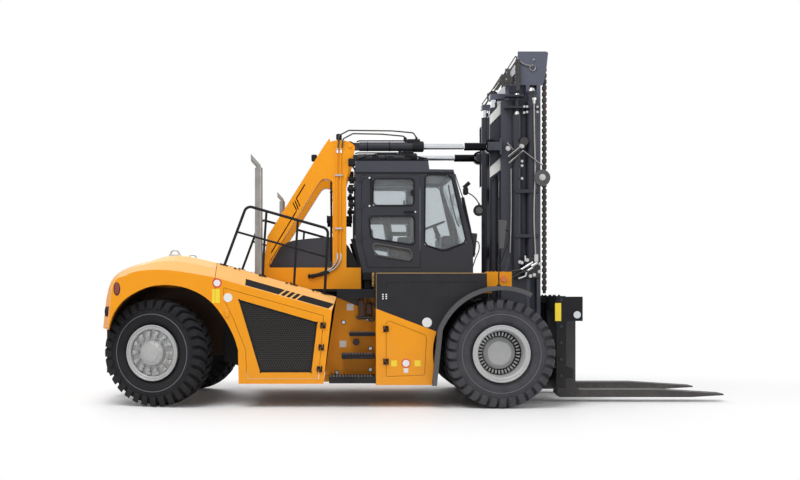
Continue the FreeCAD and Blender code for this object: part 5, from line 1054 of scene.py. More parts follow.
# %% Step bay fittings
BAY_BOLTS = ((-1.070, 1.259), (-1.170, 0.490), (-0.66, 0.859), (-0.66, 0.535), (-0.70, 1.31))
wall = -1.161
bay_white = bmesh.new()
for x, z in ((-0.970, 1.490), (-1.078, 0.928)):
    block(bay_white, (x - 0.05, wall - 0.003, z - 0.05), (x + 0.05, wall + 0.001, z + 0.05), 0)
both_sides("step_bay_plates", bay_white, white_label)
bay_steel = bmesh.new()
for x, z in BAY_BOLTS:
    hex_bolt(bay_steel, (x, wall - 0.006, z), (0, -1, 0), 0.017)
both_sides("step_bay_bolts", bay_steel, bare_steel)
bay_brown = bmesh.new()
block(bay_brown, (-0.845, wall - 0.11, 1.345), (-0.755, wall, 1.60), 0.01)
block(bay_brown, (-0.735, wall - 0.10, 1.37), (-0.63, wall, 1.56), 0.02)
bar(bay_brown, (-0.80, wall - 0.06, 1.59), (-0.80, wall - 0.06, 1.625), 0.04, sides=24)
both_sides("step_bay_pump", bay_brown, rust_brown)
bay_black = bmesh.new()
for x, z in BAY_BOLTS:
    disc(bay_black, (x, wall, z), 0.036, 0.006)
plate(bay_black, [(-1.14, wall - 0.001, 1.625), (-0.845, wall - 0.001, 1.50),
                  (-0.845, wall - 0.001, 1.625)], 0.003)
disc(bay_black, (-0.878, wall + 0.01, 0.957), 0.05, 0.05)
disc(bay_black, (-0.878, wall - 0.03, 0.957), 0.032, 0.03)
block(bay_black, (-0.86, wall - 0.10, 1.305), (-0.60, wall, 1.345), 0.006)
block(bay_black, (-0.88, wall - 0.12, 1.315), (-0.60, wall, 1.35), 0.006)
pipe(bay_black, [(-0.66, wall - 0.08, 1.50), (-0.70, wall - 0.13, 1.60), (-0.62, wall - 0.16, 1.655),
                 (-0.60, wall - 0.17, 1.52), (-0.60, wall - 0.16, 1.36), (-0.64, wall - 0.13, 1.28),
                 (-0.70, wall - 0.10, 1.32), (-0.71, wall - 0.07, 1.42)], 0.014)
both_sides("step_bay_valves", bay_black, hose_rubber)
made_here()

# %% [markdown]
# The side box has a pressed groove, a row of signs left blank, small vent slots and a pale worn edge
# along the top where boots and tools rub. Each is a thin shape laid on the skin, so it can be moved
# or repainted without cutting the box.

# %% Side box details
box_black = bmesh.new()
pipe(box_black, [(-0.435, SKIN, 1.80), (-0.435, SKIN, 1.868), (0.90, SKIN, 1.868)], 0.0035, False, 1)
both_sides("box_grooves", box_black, black_paint, smooth=0)
slots = bmesh.new()
for x in (-0.49, -0.44):
    for z in (1.622, 1.652, 1.682):
        block(slots, (x - 0.011, SKIN - 0.002, z - 0.010), (x + 0.011, SKIN + 0.001, z + 0.010), 0.001)
both_sides("box_vent_slots", slots, white_label, slot="charcoal_paint", smooth=0)
box_edge = bmesh.new()
pipe(box_edge, [(-0.585, -1.597, 1.999), (1.045, -1.597, 1.999)], 0.005, False, 1)
pipe(box_edge, [(-0.588, -1.598, 1.995), (-0.588, -1.598, 1.42)], 0.003, False, 1)
both_sides("box_worn_edge", box_edge, worn_edge)
for side_name, side in SIDES:
    signs, ring, pale = bmesh.new(), bmesh.new(), bmesh.new()
    for x in (-0.326, 0.024):
        corners = [(x - 0.045, side * 1.6, 0.618), (x + 0.045, side * 1.6, 0.618),
                   (x + 0.045, side * 1.6, 0.708), (x - 0.045, side * 1.6, 0.708)]
        plate(signs, corners if side < 0 else corners[::-1], 0.003)
    bar(ring, (-0.148, side * 1.6, 0.664), (-0.148, side * 1.603, 0.664), 0.067, sides=32)
    bar(pale, (-0.148, side * 1.6, 0.664), (-0.148, side * 1.6045, 0.664), 0.052, sides=32)
    low, high = sorted((side * 1.6, side * 1.603))
    block(pale, (-0.183, low, 0.523), (-0.113, high, 0.59), 0)
    door = f"box_door_{side_name}"
    piece(f"box_yellow_plates_{side_name}", signs, yellow_label, door, smooth=0)
    piece(f"box_ring_sign_{side_name}", ring, red_label, door)
    piece(f"box_pale_signs_{side_name}", pale, white_label, door)
box_disc = bmesh.new()
disc(box_disc, (0.163, SKIN, 1.268), 0.072, 0.003)
both_sides("box_white_disc", box_disc, white_label)
made_here()

# %% [markdown]
# Two oil pipes run down the front of each gantry leg in bright clamps, then bend in under the hood.
# A pipe swept through its points bends as a real tube does, so the route is all it needs.

# %% Gantry pipes and clamps
LEG_SKIN = -0.76
PIPE_XS = (-1.171, -1.114)
PIPE_Y = LEG_SKIN - 0.015
oil_pipes = bmesh.new()
for x in PIPE_XS:
    pipe(oil_pipes, [(x, PIPE_Y, 3.955), (x, PIPE_Y, 2.31)], 0.012, False)
both_sides("gantry_oil_pipes", oil_pipes, orange_paint)
bright = bmesh.new()
for z in (3.55, 2.715):
    block(bright, (-1.205, LEG_SKIN - 0.034, z - 0.015), (-1.08, LEG_SKIN, z + 0.015), 0.005)
    hex_bolt(bright, (-1.1425, LEG_SKIN - 0.034, z), (0, -1, 0), 0.009)
for x in PIPE_XS:
    bar(bright, (x, PIPE_Y, 3.90), (x, PIPE_Y, 3.945), 0.019, sides=6)
    bar(bright, (x, PIPE_Y, 3.955), (x, PIPE_Y, 3.973), 0.016, sides=16)
    pipe(bright, [(x, PIPE_Y, 2.33), (x - 0.005, LEG_SKIN - 0.016, 2.22),
                  (x - 0.08, LEG_SKIN - 0.02, 2.10), (x - 0.2, LEG_SKIN - 0.02, 2.03)], 0.0125)
both_sides("gantry_clamps_and_elbows", bright, bare_steel)
made_here()

# %% [markdown]
# The gantry's black fittings are hoses at the pipes' lower ends, a cable along the back of the leg, a
# filter pot between the legs and two lamps at the top. The stripe is made of thin straight plates.

# %% Gantry hoses, lamps and stripe
POT_Y, POT_Z = -0.45, 2.885
leg_black = bmesh.new()
for x in PIPE_XS:
    pipe(leg_black, [(x - 0.18, LEG_SKIN - 0.02, 2.035), (x - 0.30, LEG_SKIN - 0.02, 1.995),
                     (x - 0.42, LEG_SKIN - 0.02, 1.97)], 0.024)
    hex_bolt(leg_black, (x - 0.42, LEG_SKIN - 0.02, 1.97), (-1, 0, -0.1), 0.028)
pipe(leg_black, [(-1.262, -0.64, 3.50), (-1.266, -0.64, 3.2), (-1.262, -0.64, 2.9), (-1.268, -0.64, 2.6),
                 (-1.262, -0.64, 2.2)], 0.014)
for z in (3.3, 2.75, 2.3):
    block(leg_black, (-1.285, -0.665, z - 0.012), (-1.238, -0.615, z + 0.012), 0.004)
bar(leg_black, (-1.33, POT_Y, POT_Z), (-0.93, POT_Y, POT_Z), 0.055, sides=32)
for x in (-1.335, -1.20, -1.05, -0.95):
    bar(leg_black, (x, POT_Y, POT_Z), (x + 0.025, POT_Y, POT_Z), 0.062, sides=32)
block(leg_black, (-1.17, -0.522, 2.83), (-1.11, -0.44, 2.90), 0.006)
block(leg_black, (-1.175, LEG_SKIN + 0.02, 4.085), (-1.095, LEG_SKIN + 0.10, 4.15), 0.01)
block(leg_black, (-1.185, LEG_SKIN - 0.01, 4.12), (-1.095, LEG_SKIN + 0.11, 4.205), 0.014)
block(leg_black, (-1.575, LEG_SKIN + 0.03, 3.78), (-1.485, LEG_SKIN + 0.12, 3.885), 0.014)
bar(leg_black, (-1.53, LEG_SKIN + 0.07, 3.80), (-1.46, LEG_SKIN + 0.07, 3.69), 0.014)
both_sides("gantry_black_fittings", leg_black, black_paint)

stripe = bmesh.new()


def stripe_run(start, end, width=0.018):
    """One straight black line on the leg's face between two places given as (x, z)."""
    start, end = Vector((start[0], 0, start[1])), Vector((end[0], 0, end[1]))
    across = (end - start).cross(Vector((0, 1, 0))).normalized() * width / 2
    out = Vector((0, LEG_SKIN, 0))
    plate(stripe, [start + across + out, end + across + out, end - across + out, start - across + out], 0.002)


for start, end in (((-2.205, 2.335), (-1.808, 2.990)), ((-1.863, 3.124), (-1.802, 3.0)),
                   ((-1.832, 3.157), (-1.777, 3.02)), ((-1.808, 3.190), (-1.752, 3.066)),
                   ((-1.808, 3.190), (-1.673, 3.411))):
    stripe_run(start, end)
both_sides("gantry_leg_stripe", stripe, black_paint, smooth=0)
made_here()

# %% [markdown]
# The cab's windows sit in black gaskets. Each gasket is a pipe along its window's own outline, given
# as steps from the cab's back and the roof's eaves, so it follows both if the cab is resized. The
# small lower window has a raised grey frame.

# %% Cab windows, handles and bolts
CAB_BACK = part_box("cab_frame")[0][0]
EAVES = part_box("cab_roof")[0][2]
CORNER = 0.045
GASKET_OUT, FRAME_OUT, DOOR_OUT = 0.851, 0.852, 0.85
windows = [
    [(0.271, 0.110), (0.911, 0.110), (0.911, 0.530), (0.271, 0.530)],
    [(0.209, 0.693), (0.921, 0.693), (0.921, 1.150), (0.240, 1.040)],
]
low_window = [(0.255, 1.114), (0.876, 1.224), (0.876, 1.395), (0.302, 1.302)]


def around(mesh, points, y, radius):
    """A gasket round a window: rounded corners, straight runs between them."""
    corners = [Vector((CAB_BACK + along, y, EAVES - down)) for along, down in points]
    route = []
    for before, corner, after in zip(corners[-1:] + corners[:-1], corners, corners[1:] + corners[:1]):
        route += [corner.lerp(other, CORNER / (corner - other).length) for other in (before, after)]
    pipe(mesh, route + route[:1], radius, False)


for side_name, side in SIDES:
    gasket, rim_mesh, pulls, dots = bmesh.new(), bmesh.new(), bmesh.new(), bmesh.new()
    for window in windows:
        around(gasket, window, side * GASKET_OUT, 0.013)
    around(rim_mesh, low_window, side * FRAME_OUT, 0.017)
    for x, z in ((-0.664, 3.50), (-0.664, 3.063)):
        bar(dots, (x, side * DOOR_OUT, z), (x, side * 0.868, z), 0.014, sides=12)
    near, far = sorted((side * DOOR_OUT, side * 0.866))
    block(pulls, (-0.652, near, 3.055), (-0.632, far, 3.51), 0.004)
    block(pulls, (-0.022, near, 3.22), (0.012, far, 3.32), 0.006)
    block(pulls, (-0.13, near, 2.955), (0.06, far, 2.985), 0.006)
    pipe(pulls, [(-0.12, side * 0.862, 2.97), (-0.10, side * 0.876, 2.965),
                 (0.02, side * 0.876, 2.965), (0.035, side * 0.862, 2.97)], 0.008)
    bar(dots, (0.05, side * 0.866, 2.97), (0.05, side * 0.874, 2.97), 0.012, sides=12)
    door = f"cab_door_{side_name}"
    piece(f"cab_door_gaskets_{side_name}", gasket, black_paint, door)
    piece(f"cab_door_low_frame_{side_name}", rim_mesh, fender_grey, door)
    piece(f"cab_door_pulls_{side_name}", pulls, black_paint, door)
    piece(f"cab_door_bolts_{side_name}", dots, white_label, door, slot="rod_chrome")
quarter = bmesh.new()
around(quarter, [(1.082, 0.050), (1.488, 0.050), (1.728, 1.100), (1.378, 1.240), (1.074, 1.140)],
       -GASKET_OUT, 0.014)
both_sides("cab_quarter_gaskets", quarter, black_paint)
made_here()

# %% [markdown]
# Outside the cab: a visor line under the roof, a rack of lamps and vents on it, a lamp bracket and
# filter pots behind it, the wiper along the windscreen, a round mirror on a bent arm, and dark
# screens and a stay that close the view behind the cab. Nearly all of it is one mesh, for one paint.

# %% Cab fittings outside
cab_black = bmesh.new()
block(cab_black, (-0.888, -0.853, 3.565), (0.66, -0.846, 3.592), 0.002)
block(cab_black, (-0.60, -0.62, 3.765), (-0.40, -0.50, 3.80), 0.01)
block(cab_black, (-0.86, -0.80, 3.765), (0.26, -0.76, 3.785), 0.004)
for x, high in ((-0.82, 3.83), (-0.62, 3.86), (-0.38, 3.85), (-0.12, 3.85), (0.10, 3.83)):
    block(cab_black, (x, -0.80, 3.78), (x + 0.10, -0.70, high), 0.012)
pipe(cab_black, [(-0.88, -0.80, 3.80), (-0.60, -0.80, 3.87), (-0.1, -0.80, 3.865),
                 (0.24, -0.80, 3.81)], 0.012)
block(cab_black, (-0.995, -0.84, 3.69), (-0.885, -0.74, 3.81), 0.014)
bar(cab_black, (-0.93, -0.79, 3.70), (-0.86, -0.79, 3.58), 0.014)
for z in (3.50, 3.34, 3.10):
    bar(cab_black, (-0.995, -0.70, z), (-0.88, -0.70, z), 0.035, sides=20)
    bar(cab_black, (-0.945, -0.70, z - 0.07), (-0.945, -0.70, z + 0.07), 0.03, sides=20)
block(cab_black, (-0.90, -0.78, 2.62), (-0.875, -0.55, 3.05), 0.006)
bar(cab_black, (0.675, -0.80, 3.57), (0.80, -0.80, 3.19), 0.008)
pipe(cab_black, [(0.795, -0.80, 3.20), (0.90, -0.80, 2.72), (0.975, -0.80, 2.30)], 0.026, False)
bar(cab_black, (0.975, -0.80, 2.31), (0.94, -0.80, 2.29), 0.02)
block(cab_black, (0.79, -0.93, 3.23), (0.87, -0.85, 3.35), 0.02)
bar(cab_black, (0.80, -0.90, 3.34), (0.885, -0.93, 3.42), 0.03, sides=20)
pipe(cab_black, [(0.86, -0.90, 3.27), (0.96, -0.94, 3.19), (1.03, -0.95, 3.09)], 0.009)
bar(cab_black, (1.03, -0.95, 3.10), (1.03, -0.95, 3.03), 0.014)
bar(cab_black, (1.03, -0.93, 2.985), (1.03, -0.965, 2.985), 0.088, sides=40)
block(cab_black, (-0.765, -0.86, 1.905), (-0.61, -0.66, 2.03), 0.008)
block(cab_black, (-0.74, -0.80, 1.77), (-0.64, -0.70, 1.92), 0.01)
bar(cab_black, (-0.925, -0.70, 2.56), (-0.765, -0.70, 2.03), 0.034, sides=12)
block(cab_black, (-0.80, -0.60, 1.76), (-0.752, -0.30, 1.97), 0.006)
both_sides("cab_outside_fittings", cab_black, black_paint)
screen = bmesh.new()
plate(screen, [(-1.22, -0.46, 2.10), (-1.22, -0.46, 2.53), (-1.06, -0.46, 2.53),
               (-0.985, -0.46, 2.45), (-0.80, -0.46, 2.10)], 0.012)
both_sides("cab_back_screens", screen, charcoal_paint)
mirror_face = bmesh.new()
bar(mirror_face, (1.03, -0.964, 2.985), (1.03, -0.969, 2.985), 0.052, sides=40)
both_sides("round_mirror_backs", mirror_face, fender_grey)
cream = bmesh.new()
block(cream, (-0.625, -0.90, 1.80), (-0.592, -0.86, 2.02), 0.004)
for z in (1.84, 1.90, 1.96):
    hex_bolt(cream, (-0.61, -0.90, z), (0, -1, 0), 0.012)
both_sides("deck_end_brackets", cream, worn_edge)
made_here()

# %% [markdown]
# The driver's place. The seat is foam under cloth: each cushion is pumped up by a short cloth
# simulation from a slightly smaller block, so its faces swell and its edges stay drawn in, as sewn
# cloth does.

# %% Driver's seat
CLOTH_FRAMES = 20


def cushion(name, size, place_of, cap):
    """A foam cushion: remeshed, inflated as cloth for a few frames, its swell capped, subdivided once."""
    shape = bmesh.new()
    block(shape, -Vector(size) / 2, Vector(size) / 2, min(size) * 0.3)
    moved(shape, place_of)
    pad = object_of(name, shape)

    def baked():
        """The mesh as its modifiers leave it."""
        bpy.context.view_layer.update()
        made = bpy.data.meshes.new_from_object(pad.evaluated_get(bpy.context.evaluated_depsgraph_get()))
        pad.modifiers.clear()
        pad.data = made

    remesh = pad.modifiers.new("remesh", "REMESH")
    remesh.mode = "VOXEL"
    remesh.voxel_size = 0.006
    baked()
    start = [vert.co.copy() for vert in pad.data.vertices]
    cloth = pad.modifiers.new("cloth", "CLOTH")
    cloth.settings.use_pressure = True
    cloth.settings.uniform_pressure_force = 4
    cloth.settings.effector_weights.gravity = 0
    for frame_number in range(1, CLOTH_FRAMES + 1):
        scene.frame_set(frame_number)
    baked()
    scene.frame_set(1)
    for vert, before in zip(pad.data.vertices, start):
        step = vert.co - before
        if step.length > cap:
            vert.co = before + step * (cap / step.length)
    finer = pad.modifiers.new("finer", "SUBSURF")
    finer.levels = finer.render_levels = 1
    baked()
    pad.data.materials.clear()
    pad.data.materials.append(seat_cloth)
    pad.data.shade_smooth()
    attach(pad, "chassis")
    return pad


seat_at = Matrix.Translation((-0.085, 0, 2.482))
back_at = Matrix.Translation((-0.338, 0, 2.80)) @ Matrix.Rotation(math.radians(-9.6), 4, "Y")
seat_pad = cushion("seat_cushion", (0.40, 0.44, 0.075), seat_at, 0.012)
back_pad = cushion("seat_back_cushion", (0.075, 0.42, 0.50), back_at, 0.012)
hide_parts("driver_seat")
print("seat cushion points", len(seat_pad.data.vertices), len(back_pad.data.vertices))

# %% [markdown]
# The cushions rest in a thin hard shell with armrests. Round it stand the console with its levers, the
# dashboard, the mat and the dark box behind the seat: plain blocks, since they are seen through glass.

# %% Seat shell and controls
shell = bmesh.new()
block(shell, (-0.33, -0.235, 2.422), (0.12, 0.235, 2.440), 0.006)
frame_back = bmesh.new()
block(frame_back, (-0.058, -0.225, -0.31), (-0.040, 0.225, 0.30), 0.006)
moved(frame_back, back_at)
joined_in(shell, frame_back)
for y in (-0.235, 0.235):
    block(shell, (-0.30, y - 0.012, 2.44), (-0.27, y + 0.012, 2.68), 0.005)
    block(shell, (-0.31, y - 0.015, 2.66), (-0.02, y + 0.015, 2.70), 0.010)
piece("seat_shell", shell, black_paint)
controls = bmesh.new()
block(controls, (-0.20, -0.50, 2.045), (0.12, -0.29, 2.60), 0.02)
for index in range(4):
    y = -0.46 + index * 0.045
    bar(controls, (0.06, y, 2.60), (0.075, y, 2.70), 0.006)
    bar(controls, (0.075, y, 2.70), (0.078, y, 2.74), 0.014, 0.011, sides=16)
block(controls, (0.50, -0.55, 2.42), (0.70, 0.55, 2.62), 0.03)
block(controls, (0.44, -0.16, 2.60), (0.52, -0.02, 2.68), 0.01)
block(controls, (-0.60, -0.70, 2.042), (0.42, 0.70, 2.052), 0.003)
block(controls, (-0.80, -0.70, 2.30), (-0.60, 0.70, 2.72), 0.03)
pipe(controls, [(0.58, -0.77, 3.40), (0.585, -0.74, 3.36), (0.72, -0.74, 2.80), (0.745, -0.77, 2.75)], 0.012)
piece("driver_controls", controls, charcoal_paint)
made_here()

# %% [markdown]
# Hydraulics dress the mast's flanks: a tall pair of tubes with bright collars on each rail, clamp bars
# with bolts, hoses and a valve block at the foot.

# %% Mast tubes, collars and clamps
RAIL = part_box("outer_mast")[0][1]
FLANK = -0.79
SLIM_X, STOUT_X, TUBE_Y = 1.664, 1.896, -0.70
tubes, collars = bmesh.new(), bmesh.new()
bar(tubes, (SLIM_X, TUBE_Y, 1.95), (SLIM_X, TUBE_Y, 4.51), 0.072, sides=40)
bar(tubes, (SLIM_X, TUBE_Y, 4.50), (SLIM_X, TUBE_Y, 4.78), 0.036, sides=28)
bar(tubes, (STOUT_X, TUBE_Y, 1.95), (STOUT_X, TUBE_Y, 4.88), 0.080, sides=40)
bar(tubes, (STOUT_X, TUBE_Y, 4.84), (STOUT_X, TUBE_Y, 4.865), 0.088, sides=40)
for z in (4.80, 4.62):
    block(tubes, (1.47, FLANK, z - 0.016), (1.76 if z > 4.7 else 2.02, -0.655, z + 0.016), 0.005)
for z in (3.30, 2.60):
    block(tubes, (1.62, FLANK, z - 0.03), (2.00, -0.64, z + 0.03), 0.008)
for z, radius in ((4.51, 0.050), (4.79, 0.046)):
    bar(collars, (SLIM_X, TUBE_Y, z), (SLIM_X, TUBE_Y, z + 0.052), radius, radius * 0.8, sides=24)
bar(collars, (STOUT_X, TUBE_Y, 4.88), (STOUT_X, TUBE_Y, 4.93), 0.060, 0.040, sides=32)
bar(collars, (1.914, FLANK, 4.67), (1.914, FLANK, 4.73), 0.020, 0.026, sides=20)
bar(collars, (1.914, FLANK, 4.73), (1.914, FLANK, 4.76), 0.036, sides=6)
for x, z in ((1.762, 4.625), (1.806, 4.625), (1.760, 4.53), (1.806, 4.54), (1.968, 4.62), (1.970, 4.54)):
    hex_bolt(collars, (x, FLANK, z), (0, -1, 0), 0.013)
for z in (3.77, 3.70, 3.50):
    hex_bolt(collars, (1.727, FLANK, z), (0, -1, 0), 0.014)
both_sides("mast_side_tubes", tubes, charcoal_paint, "mast_outer")
for x, z in ((1.519, 3.98), (1.724, 4.01)):
    hex_bolt(collars, (x, FLANK if x > 1.6 else RAIL, z), (0, -1, 0), 0.026)
for x, z, length, radius in ((1.83, 2.15, 0.13, 0.022), (1.75, 2.10, 0.11, 0.020), (1.91, 2.15, 0.11, 0.026),
                             (1.846, 2.08, 0.10, 0.020)):
    tip = Vector((0.85, 0, 0.53)) * length / 2
    bar(collars, Vector((x, -0.84, z)) - tip, Vector((x, -0.84, z)) + tip, radius, radius * 0.8, sides=12)
block(collars, (1.905, -0.86, 2.19), (1.968, -0.80, 2.31), 0.008)
bar(collars, (1.77, -0.82, 2.20), (1.77, -0.82, 2.29), 0.015, sides=12)
bar(collars, (1.80, -0.82, 2.22), (1.80, -0.84, 2.22), 0.028, sides=12)
for x, z in ((1.685, 2.19), (1.715, 2.18), (2.0, 2.16), (1.99, 2.04), (1.91, 1.99), (1.85, 1.97)):
    hex_bolt(collars, (x, -0.83, z), (0, -1, 0), 0.018)
pipe(collars, [(1.66, -0.84, 1.93), (1.73, -0.84, 1.955), (1.765, -0.84, 1.97), (1.785, -0.84, 2.03)], 0.016)
both_sides("mast_bright_fittings", collars, bare_steel, "mast_outer")
made_here()

# %% [markdown]
# Black hoses and thin bare pipes cross the mast's flank between the tubes. The hoses sag or bow a
# little between their ends, so each is a smooth route through a point set off from the middle.

# %% Mast hoses, thin pipes and plates
BOW = 0.012
DISC_X, DISC_Z = 2.04, 3.51
mast_black = bmesh.new()
for low, high in (((1.49, -0.80, 1.94), (1.72, -0.84, 2.09)), ((1.54, -0.80, 1.93), (1.82, -0.84, 2.07)),
                  ((1.46, -0.80, 2.00), (1.66, -0.84, 2.06))):
    middle = [(near + far) / 2 for near, far in zip(low, high)]
    middle[2] += BOW
    pipe(mast_black, [low, middle, high], 0.016)
block(mast_black, (1.78, -0.80, 1.93), (2.02, -0.72, 2.26), 0.012)
thin = bmesh.new()
pipe(thin, [(1.914, FLANK, 4.68), (1.918, -0.792, 4.3), (1.93, -0.792, 3.6), (1.912, -0.792, 2.9),
            (1.935, -0.80, 2.30)], 0.011)
pipe(thin, [(1.566, RAIL - 0.012, 3.66), (1.566, RAIL - 0.012, 2.9), (1.55, RAIL - 0.012, 2.34)], 0.010)
pipe(thin, [(1.518, RAIL - 0.02, 3.85), (1.694, -0.80, 3.99)], 0.010, False)
pipe(thin, [(1.534, RAIL - 0.02, 3.75), (1.743, -0.80, 3.934), (2.041, -0.82, 3.70)], 0.011, False)
pipe(thin, [(1.505, RAIL - 0.01, 4.07), (1.56, RAIL - 0.03, 4.0), (1.60, RAIL - 0.02, 3.95)], 0.009)
both_sides("mast_thin_pipes", thin, stack_steel, "mast_outer", slot="bare_steel")
bar(mast_black, (1.534, RAIL - 0.02, 3.73), (1.72, -0.80, 3.90), 0.016)
bar(mast_black, (1.53, RAIL - 0.02, 3.83), (1.68, -0.80, 3.955), 0.016)
bar(mast_black, (1.759, -0.775, 4.08), (1.759, -0.805, 4.08), 0.064, sides=36)
bar(mast_black, (1.69, RAIL, 4.02), (1.69, RAIL - 0.06, 4.02), 0.05, sides=32)
both_sides("mast_hoses_and_levers", mast_black, hose_rubber, "mast_outer")
big_disc = bmesh.new()
bar(big_disc, (DISC_X, -0.78, DISC_Z), (DISC_X, -0.815, DISC_Z), 0.132, 0.126, sides=48)
bar(big_disc, (DISC_X, -0.60, DISC_Z), (DISC_X, -0.78, DISC_Z), 0.03, sides=20)
both_sides("hose_guide_discs", big_disc, fender_grey, "mast_outer")
disc_bolt = bmesh.new()
hex_bolt(disc_bolt, (DISC_X, -0.815, 3.515), (0, -1, 0), 0.034)
both_sides("hose_guide_bolts", disc_bolt, bare_steel, "mast_outer")
gusset, ties = bmesh.new(), bmesh.new()
GUSSET_REAR, GUSSET_FRONT, GUSSET_Y, TIE_Y = 1.26, 1.454, -0.555, -0.567
plate(gusset, [(GUSSET_REAR, GUSSET_Y, 4.50), (GUSSET_FRONT, GUSSET_Y, 4.72),
               (GUSSET_FRONT, GUSSET_Y, 3.66), (GUSSET_REAR, GUSSET_Y, 3.50)], 0.008)
both_sides("mast_gussets", gusset, charcoal_paint, "mast_outer")
for far, heights in ((GUSSET_FRONT, (4.525, 4.749, 4.579, 4.38)), (1.438, (3.704, 3.866, 3.672, 3.542))):
    plate(ties, [(x, TIE_Y, z) for x, z in zip((GUSSET_REAR, far, far, GUSSET_REAR), heights)], 0.004)
both_sides("mast_pale_ties", ties, pale_tie, "mast_outer")
wheel_house = bmesh.new()
block(wheel_house, (0.78, -1.16, 1.620), (1.14, -0.72, 1.75), 0.006)
both_sides("front_wheel_house_tops", wheel_house, black_paint)
outer_wire = bmesh.new()
pipe(outer_wire, [(1.50, -0.92, 2.26), (1.40, -0.98, 1.96), (1.33, -1.02, 1.86), (1.31, -1.06, 1.90)], 0.008)
both_sides("lamp_box_wires", outer_wire, hose_rubber)
made_here()

# %% [markdown]
# The inner mast's head carries a bent rod with a ring, a hose drum and the coiled lift hose, which
# all rise with it. The coil is a stack of short tapered bars, which reads as windings from any side.

# %% Mast head
HEAD_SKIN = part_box("inner_mast")[0][1]
LOOP_X, LOOP_Z, LOOP_RADIUS, LOOP_STEPS = 1.93, 5.275, 0.045, 8
head = bmesh.new()
for drop in (5.36, 5.30, 5.24, 5.18, 5.12, 5.06, 5.00):
    bar(head, (1.685, -0.64, drop - 0.024), (1.685, -0.64, drop + 0.024), 0.036, 0.040, sides=20)
pipe(head, [(1.685, -0.64, 5.40), (1.685, -0.64, 5.18), (1.69, -0.645, 4.90)], 0.032)
pipe(head, [(1.68, -0.62, 5.40), (1.50, -0.62, 5.13), (1.36, -0.62, 4.92)], 0.014)
pipe(head, [(1.66, -0.61, 5.46), (1.46, -0.61, 5.15), (1.31, -0.61, 4.94)], 0.009)
bar(head, (1.503, -0.615, 5.075), (1.503, -0.66, 5.075), 0.098, sides=40)
bar(head, (1.503, -0.66, 5.075), (1.503, -0.668, 5.075), 0.055, sides=32)
block(head, (1.40, -0.64, 5.02), (1.62, -0.60, 5.13), 0.01)
both_sides("mast_head_fittings", head, hose_rubber, "mast_inner")
head_ring = bmesh.new()
pipe(head_ring, [(1.70, HEAD_SKIN - 0.012, 5.42), (1.75, HEAD_SKIN - 0.014, 5.36),
                 (1.84, HEAD_SKIN - 0.014, 5.32), (1.93, HEAD_SKIN - 0.014, 5.31)], 0.011)
turns = [step / LOOP_STEPS * math.tau for step in range(LOOP_STEPS + 1)]
pipe(head_ring, [(LOOP_X + LOOP_RADIUS * math.cos(turn), HEAD_SKIN - 0.012,
                  LOOP_Z + LOOP_RADIUS * math.sin(turn)) for turn in turns], 0.007)
bar(head_ring, (1.946, HEAD_SKIN, 5.408), (1.946, HEAD_SKIN - 0.006, 5.408), 0.018, sides=20)
bar(head_ring, (1.503, -0.668, 5.08), (1.503, -0.674, 5.08), 0.014, sides=12)
both_sides("mast_head_bright", head_ring, stack_steel, "mast_inner", slot="rod_chrome")
made_here()

# %% [markdown]
# The front chains are leaf chains: flat plates overlap in turn, broad ones and narrow ones. They hang
# from the inner mast's head to the carriage, and the run gets shorter as the carriage climbs. Here
# each is one run of plates from its foot to its top, riding the inner mast.

# %% Front chains
CHAIN_X, CHAIN_Y, LINKS = 2.135, -0.515, 74
CHAIN_FOOT = 1.70
CHAIN_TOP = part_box("front_chains")[1][2]


def chain_run(x, y, low, high, count, width):
    """A leaf chain: plates overlap in turn along it, two narrow ones, then three broad ones."""
    mesh = bmesh.new()
    pitch = (high - low) / count
    for index in range(count):
        z = low + index * pitch
        top = min(high, z + pitch * 1.35)
        deep, lanes = (0.032, (-width / 2, 0.0, width / 2)) if index % 2 else (0.022, (-width / 4, width / 4))
        for lane in lanes:
            block(mesh, (x - deep, y + lane - 0.008, z), (x + deep, y + lane + 0.008, top), 0.010)
    return mesh


run = chain_run(CHAIN_X, CHAIN_Y, CHAIN_FOOT, CHAIN_TOP, LINKS, 0.060)
links = both_sides("front_chain_links", run, chain_brown, "mast_inner", smooth=0)
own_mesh(links)
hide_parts("front_chains")
made_here()

# %% [markdown]
# The carriage carries a blank yellow plate and bolts on each end. On each front fender stand a long
# mirror on a bent stalk, a lamp and its bolts.

# %% Carriage, fender lamps and mirrors
end_plate = bmesh.new()
block(end_plate, (2.140, -1.2535, 1.28), (2.232, -1.249, 1.553), 0.001)
both_sides("carriage_end_plates", end_plate, yellow_label, "carriage")
carriage_bits = bmesh.new()
for z in (1.60, 1.20, 0.95, 0.70, 0.45):
    hex_bolt(carriage_bits, (2.23, -1.25, z), (0, -1, 0), 0.018)
for x in (2.20, 2.28):
    for y in (0.30, 0.60, 0.90):
        hex_bolt(carriage_bits, (x, -y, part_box("fork_carriage")[1][2]), (0, 0, 1), 0.016)
both_sides("carriage_bolts", carriage_bits, charcoal_paint, "carriage")
lamp_body = bmesh.new()
block(lamp_body, (1.075, -1.17, 1.70), (1.20, -1.10, 1.80), 0.004)
for x in (1.14, 1.20, 1.26, 1.32, 1.38):
    hex_bolt(lamp_body, (x, -1.10, 2.028), (0, 0, 1), 0.009)
both_sides("lamp_box_steps", lamp_body, orange_paint)
amber = bmesh.new()
bar(amber, (1.38, -1.148, 1.92), (1.38, -1.162, 1.92), 0.055, 0.048, sides=32)
both_sides("side_marker_lamps", amber, amber_lens)
long_mirror = bmesh.new()
block(long_mirror, (-0.060, -0.022, -0.215), (0.060, 0.022, 0.215), 0.021)
for vert in long_mirror.verts:
    if vert.co.z < -0.1:
        vert.co.x = vert.co.x * 0.6 + 0.012
moved(long_mirror, Matrix.Translation((1.285, -1.50, 2.575)) @ Matrix.Rotation(math.radians(5), 4, "Y"))
both_sides("fender_mirrors", long_mirror, fender_grey)
stalk = bmesh.new()
